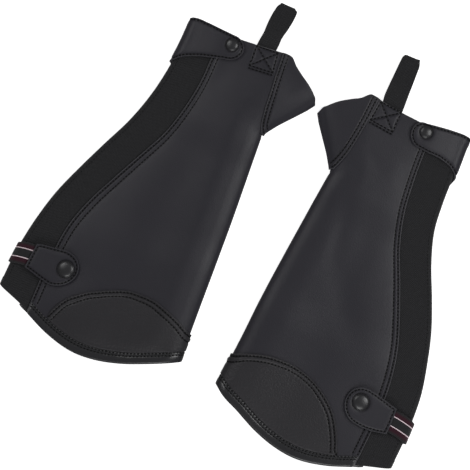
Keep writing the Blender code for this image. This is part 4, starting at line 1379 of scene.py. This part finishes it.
def make_stirrup(skin, material):
    """The stirrup: one band of elastic, folded at its tip, its corners drawn in a little."""
    near, tip = stirrup_edge(skin, "near")
    far = stirrup_edge(skin, "far")[0]
    part = (1 - np.cos(np.linspace(0, pi, 18))) / 2
    path = near[:, None] + (far - near)[:, None] * part[None, :, None]
    centre = path.mean(1, keepdims=True)
    drawn = 1.8 * np.clip(1 - (path[..., 1] - tip + STIRRUP_BEND) / 3.5, 0, 1) ** 2
    path[..., 0] -= np.sign(path - centre)[..., 0] * drawn * np.abs(2 * part - 1) ** 3
    ran = lengths(path, 0)[:, 9]
    at = np.linspace(0, ran[-1], 230)
    fine = np.stack([[np.interp(at, ran, path[:, k, d]) for d in range(3)] for k in range(len(part))], 0)
    fine = smoothed(np.moveaxis(fine, 1, 2), 3)
    outs = unit(np.cross(np.gradient(fine, axis=0), np.gradient(fine, axis=1)))
    outs *= np.sign(outs[:, 10, 2].sum())
    cut = np.stack([lengths(fine, 0), lengths(fine, 1)], -1)
    from_middle = np.abs(2 * part - 1)
    dished = 0.3 * (1 - smoothstep((from_middle - 0.3) / 0.5))
    half = ELASTIC / 2 * (1 - 0.35 * from_middle**12 - dished)[:, None, None]
    name = f"{skin.chap}_stirrup_elastic"
    return make_wall(name, skin, fine + outs * half, fine - outs * half, cut, material, soften=0.3)


def smoothed(grid, rounds):
    """A grid of points with the bends along its rows eased."""
    for _ in range(rounds):
        grid[:, 1:-1] = (grid[:, :-2] + 2 * grid[:, 1:-1] + grid[:, 2:]) / 4
    return grid


# ---------------------------------------------------------------- hardware


def make_solid(name, skin, parts, material):
    """Closed solids, given as lots of points and faces in the chap's plan, as one object."""
    bm = bmesh.new()
    for points, faces in parts:
        verts = [bm.verts.new(point) for point in placed(skin, np.asarray(points, float))]
        for face in faces:
            bm.faces.new([verts[number] for number in face])
    bmesh.ops.recalc_face_normals(bm, faces=bm.faces)
    mesh = bpy.data.meshes.new(name)
    bm.to_mesh(mesh)
    bm.free()
    mesh.shade_smooth()
    mesh.materials.append(material)
    return add_object(name, mesh)


def turned(profile, seat, out):
    """A round part: profile is (radius, height) rows from the top's rim to the underside's, along out."""
    sides = 48
    across = unit(np.cross(out, (0.0, 1.0, 0.3))[None])[0]
    other = np.cross(out, across)
    angle = np.linspace(0, 2 * pi, sides, endpoint=False)
    circle = np.cos(angle)[:, None] * across + np.sin(angle)[:, None] * other
    points = np.concatenate([seat + circle * radius + out * height for radius, height in profile])
    faces = [list(range(sides)), list(range(len(points) - sides, len(points)))]
    for first in range(0, len(points) - sides, sides):
        for k in range(sides):
            after = (k + 1) % sides
            faces.append((first + k, first + after, first + after + sides, first + k + sides))
    return points, faces


def block(middle, size, bevel):
    """A block with rounded edges, square to the chap's plan."""
    bm = bmesh.new()
    bmesh.ops.create_cube(bm, size=1)
    bmesh.ops.scale(bm, vec=size, verts=bm.verts)
    bmesh.ops.bevel(bm, geom=bm.edges, offset=bevel, segments=3, profile=0.5, affect="EDGES")
    points = np.array([v.co for v in bm.verts]) + middle
    faces = [[v.index for v in f.verts] for f in bm.faces]
    bm.free()
    return points, faces


def snap_cap(snap, seat, out):
    """A low domed cap with a rolled rim, standing on its tab."""
    radius, rise = snap["radius"], snap["rise"] + SNAP_GAP
    dome = [(radius * 0.93 * sin(a), rise * (0.42 + 0.58 * cos(a))) for a in np.linspace(0.02, pi / 2, 14)]
    rim = [(radius * (0.93 + 0.07 * sin(a)), rise * (0.24 + 0.18 * cos(a))) for a in np.linspace(0.4, pi, 9)]
    return turned([*dome, *rim, (radius * 0.8, 0.02), (0.3, 0.02)], seat, out)


def snap_socket(snap, seat, out, stand):
    """The joined socket and stud, between the tab and the leather."""
    radius = snap["radius"] * 0.72
    low, high = SNAP_GAP * 0.6, stand - 0.05
    middle = (low + high) / 2
    upper = [(0.3, high), (radius * 0.96, high), (radius, high - 0.15), (radius, middle + 0.2)]
    lower = [(radius, middle - 0.2), (radius, low + 0.15), (radius * 0.96, low), (0.3, low)]
    return turned([*upper, (radius * 0.9, middle), *lower], seat, out)


def make_snaps(skin, name, strip, material):
    """One snap's cap and what it is snapped to."""
    seat, out = snap_seat(strip, skin, name)
    snap = SNAPS[name]
    low = skin.back_ring(*snap[skin.chap], 0)
    cap = snap_cap(snap, seat + out * (LEATHER - CAP_SUNK), out)
    socket = snap_socket(snap, low, out, strip.stand[0])
    return [make_solid(f"{skin.chap}_{name}_{part}", skin, [solid], material)
            for part, solid in (("cap", cap), ("socket", socket))]


def make_slider(skin, material):
    """The closed zip's slider: two wings, a bridge and a short pull, all within the slot."""
    along = SLIDER_ALONG[skin.chap]
    across = float(skin.side_line("back", np.array(along))) + LAP - SLOT_MIDDLE
    level = REST_LIFT + LAP + ELASTIC - GAP - 1.1
    middle = np.array([across, along, level])
    parts = [
        block(middle + (0, 0, 0.7), (6.6, 9.0, 0.7), 0.3),
        block(middle + (0, 1.2, -0.35), (5.6, 8.6, 0.7), 0.3),
        block(middle + (0, -3.4, 0.15), (1.6, 2.6, 1.6), 0.3),
        block(middle + (0, 4.6, -0.85), (2.4, 2.4, 0.4), 0.15),
    ]
    return make_solid(f"{skin.chap}_slider", skin, parts, material)


# ---------------------------------------------------------------- what a user would change


def colour(name, description, code):
    return FloatVectorProperty(
        name=name, description=description, default=linear(code), size=3, subtype="COLOR", min=0, max=1
    )


def length(name, description, millimetres):
    return FloatProperty(
        name=name, description=description, default=millimetres * MM, unit="LENGTH", min=0, precision=5)


def watts(name, description, power):
    return FloatProperty(name=name, description=description, default=power, unit="POWER", min=0)


class ChapColours(bpy.types.PropertyGroup):
    """Colours of the half chaps' materials."""

    leather: colour("Leather", "Smooth leather of the shaft, instep and tabs", "26252B")
    pebbled: colour("Pebbled leather", "Half moon at the calf end", "272629")
    cut_edge: colour("Cut edge", "Pale grey where leather is cut through", "6C6C6E")
    elastic: colour("Elastic", "Calf panel and stirrup", "202022")
    binding: colour("Binding", "Glossy strip round the calf hem", "1F1F22")
    thread: colour("Thread", "Stitches", "040405")
    wine: colour("Wine stripe", "Outer stripes of the calf strap", "300A1A")
    pale: colour("Pale line", "Thin lines of the calf strap", "F0DCE2")
    tape: colour("Zip tape", "Woven tape of the zip", "1C1C1D")
    enamel: colour("Snap enamel", "Caps of the snaps", "19191C")
    metal: colour("Slider metal", "Slider of the zip", "3A3A3C")


class ChapSizes(bpy.types.PropertyGroup):
    """Sizes of the stitches and of the cloths' textures."""

    pitch: length("Stitch pitch", "From one stitch to the next", 3.55)
    stitch: length("Stitch length", "Length of a stitch that shows", 2.7)
    thread: length("Thread width", "Width of a stitch", 1.4)
    draw: length("Drawn in", "How deep stitches draw the leather in", 0.6)
    puff: length("Puffed", "How far leather stands up between its rows", 0.5)
    grain: length("Grain", "Size of the smooth leather's grain", 1.1)
    pebble: length("Pebbles", "Size of the half moon's pebbles", 1.9)
    rib: length("Elastic rib", "Pitch of the elastic's cross ribs", 2.1)
    tooth: length("Zip tooth", "Pitch of the zip's coil", 1.45)


class StudioSettings(bpy.types.PropertyGroup):
    """Floor and light."""

    floor: colour("Floor", "Plain floor under the chaps", "F8F8F8")
    height: length("Camera height", "Height of the camera over the floor", 5000.0)
    frame: length("Frame", "Width of the square that the camera sees", 470.0)
    glow: FloatProperty(
        name="Glow", description="Light of the floor itself, as of a light table", default=0.8, min=0)
    front: watts("Front", "Softbox in front of the calf ends, which fills the shadows", 4.5)
    left: watts("Left", "Softbox at the back left", 3.5)
    right: watts("Right", "Softbox at the right", 5.6)


# ---------------------------------------------------------------- operators

SKINS = {chap: Skin(chap) for chap in CHAPS}


def finishes(tint, sizes):
    """How each finish is made: its function, and what that takes. Depths and cords are in millimetres."""
    hide = {"cut_edge": tint.cut_edge, "roughness": 0.42, "specular": 0.28}
    stripes = strap_stripes(tint.elastic, tint.wine, tint.pale)
    return {
        # Cow leather, plated with a fine grain and lacquered matt: a broad soft shine and cloudy dye. The
        # grain of about 0.5 mm is drawn twice as wide, so that it shows.
        "smooth black leather": (leather, {
            "colour": tint.leather, "grain": sizes.grain, "depth": 0.06, "cloud": 0.05, **hide}),
        # The same leather embossed with pebbles of 1 to 2 mm: it breaks the shine up into small lights.
        "pebbled black leather": (leather, {
            "colour": tint.pebbled, "grain": sizes.pebble, "depth": 0.22, "cloud": 0.03, **hide}),
        # Thin leather with a glazed face, folded round the hem: narrow, brighter streaks of shine.
        "glossy black binding": (leather, {
            "colour": tint.binding, "cut_edge": tint.cut_edge, "grain": 0.9 * MM, "depth": 0.04,
            "roughness": 0.26, "specular": 0.5, "cloud": 0.04}),
        # Covered rubber cords woven with polyester: dull, with cross ribs and a slight sheen of yarn.
        "black ribbed elastic": (ribbed, {
            "colour": tint.elastic, "rib": sizes.rib, "cord": 1.9, "depth": 0.2, "roughness": 0.85}),
        # The same weave in dyed stripes, with finer cords: flat colour, broken by the ribs.
        "striped strap elastic": (ribbed, {
            "colour": tint.elastic, "rib": sizes.rib, "cord": 0.9, "depth": 0.12, "roughness": 0.8,
            "stripes": stripes}),
        # Plain-woven polyester tape: quite matt. Its 0.3 mm yarns are drawn twice as wide, so that they show.
        "woven zip tape": (ribbed, {
            "colour": tint.tape, "rib": 0.7 * MM, "cord": 0.6, "depth": 0.06, "roughness": 0.9}),
        # Twisted and waxed polyester thread: nearly black dots with hardly a shine.
        "black polyester thread": (plain, {
            "colour": tint.thread, "roughness": 0.6, "specular": 0.15, "scratch": 0.08}),
        # Brass caps sprayed with black enamel and baked: small, fairly sharp lights on the dome and the rim.
        "black enamelled snap": (plain, {
            "colour": tint.enamel, "roughness": 0.32, "specular": 0.6, "scratch": 0.01}),
        # Die-cast zinc, plated dark: a metal's grey shine with fine marks from the mould.
        "dark zip metal": (plain, {
            "colour": tint.metal, "roughness": 0.32, "metallic": 0.9, "scratch": 0.02}),
    }


def material(name):
    """The named finish, made from the scene's colours and sizes on first use."""
    if name not in bpy.data.materials:
        scene = bpy.context.scene
        make, values = finishes(scene.chap_colours, scene.chap_sizes)[name]
        make(name, **values)
    return bpy.data.materials[name]


def make_stitches(skin, name, rows, lift=-THREAD_LIFT, **more):
    """Rows of stitches as one object, riding with the object's body."""
    sizes = bpy.context.scene.chap_sizes
    kept = [row.lifted(lift - SUNK * (row.outs[:, 2:] < 0)) for row in rows if len(row.points) > 2]
    for row in kept:
        row.points[:, 2] = np.maximum(row.points[:, 2], UNDER_STITCH)
    piece = line_object(f"{skin.chap}_{name}_stitches", skin, kept)
    values = {
        "Pitch": sizes.pitch, "Length": sizes.stitch, "Width": sizes.thread, "Height": sizes.thread * 0.5,
        "Dip": sizes.thread * 0.35, "Turn": 0.0, "Material": material("black polyester thread"),
    }
    through_tree(piece, row_tree(), **{**values, **more})
    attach(piece, "root")
    return piece


def settle_part(piece, nodes):
    """Hands a part that isn't a sheet to the frame."""
    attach(piece, "root")
    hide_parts(*nodes)


class CHAPS_OT_shaft(bpy.types.Operator):
    """Makes the leather shafts, their relief and their seam stitches"""

    bl_idname = "chaps.shaft"
    bl_label = "Leather shafts"

    def execute(self, context):
        for chap, skin in SKINS.items():
            piece = make_shaft(skin, context.scene.chap_sizes, material("smooth black leather"))
            lines = [on_swell(skin, row) for row in (*seam_rows(skin), *box_rows(skin))]
            rows = make_stitches(skin, "shaft", lines)
            settle(piece, [f"{chap}_body"])
        return {"FINISHED"}


class CHAPS_OT_instep(bpy.types.Operator):
    """Makes the instep pieces, lapped over the shafts"""

    bl_idname = "chaps.instep"
    bl_label = "Instep pieces"

    def execute(self, context):
        for chap, skin in SKINS.items():
            piece = make_instep(skin, context.scene.chap_sizes, material("smooth black leather"))
            lines = [on_swell(skin, row) for row in instep_rows(skin)]
            rows = make_stitches(skin, "instep", lines, lift=LAP - THREAD_LIFT)
            settle(piece, [f"{chap}_instep"])
        return {"FINISHED"}


class CHAPS_OT_half_moon(bpy.types.Operator):
    """Makes the half moons of pebbled leather"""

    bl_idname = "chaps.half_moon"
    bl_label = "Half moons"

    def execute(self, context):
        for chap, skin in SKINS.items():
            piece = make_patch(skin, context.scene.chap_sizes, material("pebbled black leather"))
            lines = [on_swell(skin, row) for row in patch_rows(skin)]
            rows = make_stitches(skin, "half_moon", lines, lift=LAP - THREAD_LIFT)
            settle(piece, [f"{chap}_half_moon"])
        return {"FINISHED"}


class CHAPS_OT_binding(bpy.types.Operator):
    """Makes the binding round the calf hems"""

    bl_idname = "chaps.binding"
    bl_label = "Calf bindings"

    def execute(self, context):
        for chap, skin in SKINS.items():
            piece = make_binding(skin, material("glossy black binding"))
            lines = binding_rows(skin, binding_columns()[1:-1])
            rows = make_stitches(skin, "binding", lines, lift=GAP + BINDING - 0.05)
            settle(piece, [f"{chap}_binding"])
        return {"FINISHED"}


class CHAPS_OT_elastic(bpy.types.Operator):
    """Makes the elastic calf panels"""

    bl_idname = "chaps.elastic"
    bl_label = "Elastic panels"

    def execute(self, context):
        for chap, skin in SKINS.items():
            piece = make_elastic(skin, material("black ribbed elastic"))
            rows = make_stitches(skin, "elastic", elastic_rows(skin), lift=-LAP, Width=0.0007)
            settle(piece, [f"{chap}_elastic"])
        return {"FINISHED"}


class CHAPS_OT_zip(bpy.types.Operator):
    """Makes the zips under the back edge: tape, coil and slider"""

    bl_idname = "chaps.zip"
    bl_label = "Zips"

    def execute(self, context):
        sizes = context.scene.chap_sizes
        for chap, skin in SKINS.items():
            tape = make_tape(skin, material("woven zip tape"))
            coil = make_stitches(
                skin, "zip_coil", coil_rows(skin), lift=0.35 - LAP - ELASTIC - GAP, Pitch=sizes.tooth,
                Length=0.0034, Width=0.0009, Height=0.0013, Dip=0.0003, Turn=pi / 2,
                Material=material("woven zip tape"))
            coil.name = f"{chap}_zip_coil"
            settle(tape, [f"{chap}_zip_tape"])
            settle_part(make_slider(skin, material("dark zip metal")), [f"{chap}_zip_slider"])
        return {"FINISHED"}


class CHAPS_OT_ankle_tab(bpy.types.Operator):
    """Makes the ankle tabs, with their stitches and snaps"""

    bl_idname = "chaps.ankle_tab"
    bl_label = "Ankle tabs"

    def execute(self, context):
        for chap, skin in SKINS.items():
            strip = Strip(skin, ANKLE_TAB[chap], ANKLE_TIP[chap], LEATHER, width=34)
            finish_tab(skin, strip, "ankle", -39.0, False)
        return {"FINISHED"}


class CHAPS_OT_calf_tab(bpy.types.Operator):
    """Makes the calf tabs, with their stitches and snaps"""

    bl_idname = "chaps.calf_tab"
    bl_label = "Calf tabs"

    def execute(self, context):
        for chap, skin in SKINS.items():
            strip = Strip(skin, CALF_TAB[chap], CALF_TIP[chap], LEATHER, width=36)
            finish_tab(skin, strip, "calf", CALF_TAB[chap]["reach"][-1], True)
        return {"FINISHED"}


def finish_tab(skin, strip, name, low, closed):
    """A tab, its edge stitches and its snap."""
    sizes = bpy.context.scene.chap_sizes
    row = strip.outline(TAB_ROW_IN, low, closed)
    seat = snap_seat(strip, skin, name)[0]
    piece = make_tab(
        f"{skin.chap}_{name}_leather_tab", strip, [row], (seat, SNAPS[name]["radius"]), sizes,
        material("smooth black leather"))
    rows = make_stitches(skin, f"{name}_tab", [row], lift=LEATHER - THREAD_LIFT)
    settle(piece, [f"{skin.chap}_{name}_tab"])
    cap, socket = make_snaps(skin, name, strip, material("black enamelled snap"))
    settle_part(cap, [f"{skin.chap}_{name}_snap_cap"])
    settle_part(socket, [f"{skin.chap}_{name}_snap_socket"])


class CHAPS_OT_calf_strap(bpy.types.Operator):
    """Makes the striped elastic straps round the back edge at the calf"""

    bl_idname = "chaps.calf_strap"
    bl_label = "Calf straps"

    def execute(self, context):
        for chap, skin in SKINS.items():
            strip = Strip(skin, CALF_STRAP[chap], 0, WEBBING, width=44)
            middle = (strip.near + strip.far)[:, None] / 2
            aside = strip.along - middle
            from_middle = np.abs(aside / aside.max(1, keepdims=True))
            drawn = 0.9 * from_middle**6 * np.exp(-((strip.reach / 3.2) ** 2))[:, None]
            strip.points[..., 1] -= np.sign(aside) * drawn
            curl = 0.4 * from_middle**3 * np.exp(-((strip.reach / 7) ** 2))[:, None] - 0.9 * from_middle**16
            outer = strip.points + strip.outs * (WEBBING + curl)[..., None]
            weave = material("striped strap elastic")
            name = f"{chap}_striped_strap"
            piece = make_wall(name, skin, outer, strip.points, strip.cut, weave, soften=0.25)
            settle(piece, [f"{chap}_calf_strap"])
        return {"FINISHED"}


class CHAPS_OT_stirrup(bpy.types.Operator):
    """Makes the elastic stirrups under the ankle hems"""

    bl_idname = "chaps.stirrup"
    bl_label = "Stirrups"

    def execute(self, context):
        for chap, skin in SKINS.items():
            piece = make_stirrup(skin, material("black ribbed elastic"))
            settle(piece, [f"{chap}_stirrup"])
        return {"FINISHED"}


class CHAPS_OT_stage(bpy.types.Operator):
    """Makes the floor, the lights and the camera straight above"""

    bl_idname = "chaps.stage"
    bl_label = "Studio"

    def execute(self, context):
        scene, studio = context.scene, context.scene.chap_studio
        scene.view_settings.view_transform = "Standard"
        floor = add_object("floor", flat_square("floor", FLOOR_WIDTH, FLOOR_LEVEL))
        # White card over a light table: matt and even, so that it takes only faint shadows
        white = rgba(studio.floor)
        card = begin(
            "white studio card", Base_Color=white, Roughness=0.95, Specular_IOR_Level=0.1,
            Emission_Color=white, Emission_Strength=studio.glow)[0]
        floor.data.materials.append(card)
        floor.visible_glossy = False
        for name, place in SOFTBOXES.items():
            lamp = bpy.data.lights.new(f"{name} softbox", "AREA")
            lamp.shape, lamp.size, lamp.energy = "SQUARE", SOFTBOX_WIDTH, getattr(studio, name)
            stand = bpy.data.objects.new(lamp.name, lamp)
            stand.location = place
            stand.rotation_euler = (-stand.location).to_track_quat("-Z", "Y").to_euler()
            stand.visible_camera = False
            scene.collection.objects.link(stand)
        world = bpy.data.worlds.new("dim studio")
        world.use_nodes = True
        world.node_tree.nodes["Background"].inputs["Color"].default_value = SKY
        scene.world = world
        camera = bpy.data.cameras.new("camera overhead")
        camera.sensor_width = SENSOR
        camera.lens = SENSOR * studio.height / studio.frame
        camera.clip_end = 20
        holder = bpy.data.objects.new("camera overhead", camera)
        holder.location = (0, 0, studio.height)
        scene.collection.objects.link(holder)
        scene.camera = holder
        return {"FINISHED"}


def flat_square(name, size, level):
    half = size / 2
    mesh = bpy.data.meshes.new(name)
    corners = [(-half, -half, level), (half, -half, level), (half, half, level), (-half, half, level)]
    mesh.from_pydata(corners, [], [(0, 1, 2, 3)])
    return mesh


OPERATORS = (
    CHAPS_OT_shaft,
    CHAPS_OT_instep,
    CHAPS_OT_half_moon,
    CHAPS_OT_binding,
    CHAPS_OT_elastic,
    CHAPS_OT_zip,
    CHAPS_OT_ankle_tab,
    CHAPS_OT_calf_tab,
    CHAPS_OT_calf_strap,
    CHAPS_OT_stirrup,
    CHAPS_OT_stage,
)
GROUPS = {"chap_colours": ChapColours, "chap_sizes": ChapSizes, "chap_studio": StudioSettings}


class CHAPS_PT_build(bpy.types.Panel):
    """Lists the pieces of the half chaps and what can be changed"""

    bl_label = "Half chaps"
    bl_idname = "CHAPS_PT_build"
    bl_space_type = "VIEW_3D"
    bl_region_type = "UI"
    bl_category = "Half chaps"

    def draw(self, context):
        for operator in OPERATORS:
            self.layout.operator(operator.bl_idname)
        for group, kind in GROUPS.items():
            box = self.layout.box()
            for name in kind.__annotations__:
                box.prop(getattr(context.scene, group), name)


def register():
    for kind in (*GROUPS.values(), *OPERATORS, CHAPS_PT_build):
        bpy.utils.register_class(kind)
    for name, kind in GROUPS.items():
        setattr(bpy.types.Scene, name, PointerProperty(type=kind))


def unregister():
    for name in GROUPS:
        delattr(bpy.types.Scene, name)
    for kind in (CHAPS_PT_build, *reversed(OPERATORS), *reversed(GROUPS.values())):
        bpy.utils.unregister_class(kind)


def main():
    register()
    for operator in OPERATORS:
        getattr(bpy.ops.chaps, operator.bl_idname.removeprefix("chaps."))()


if __name__ == "__main__":
    main()
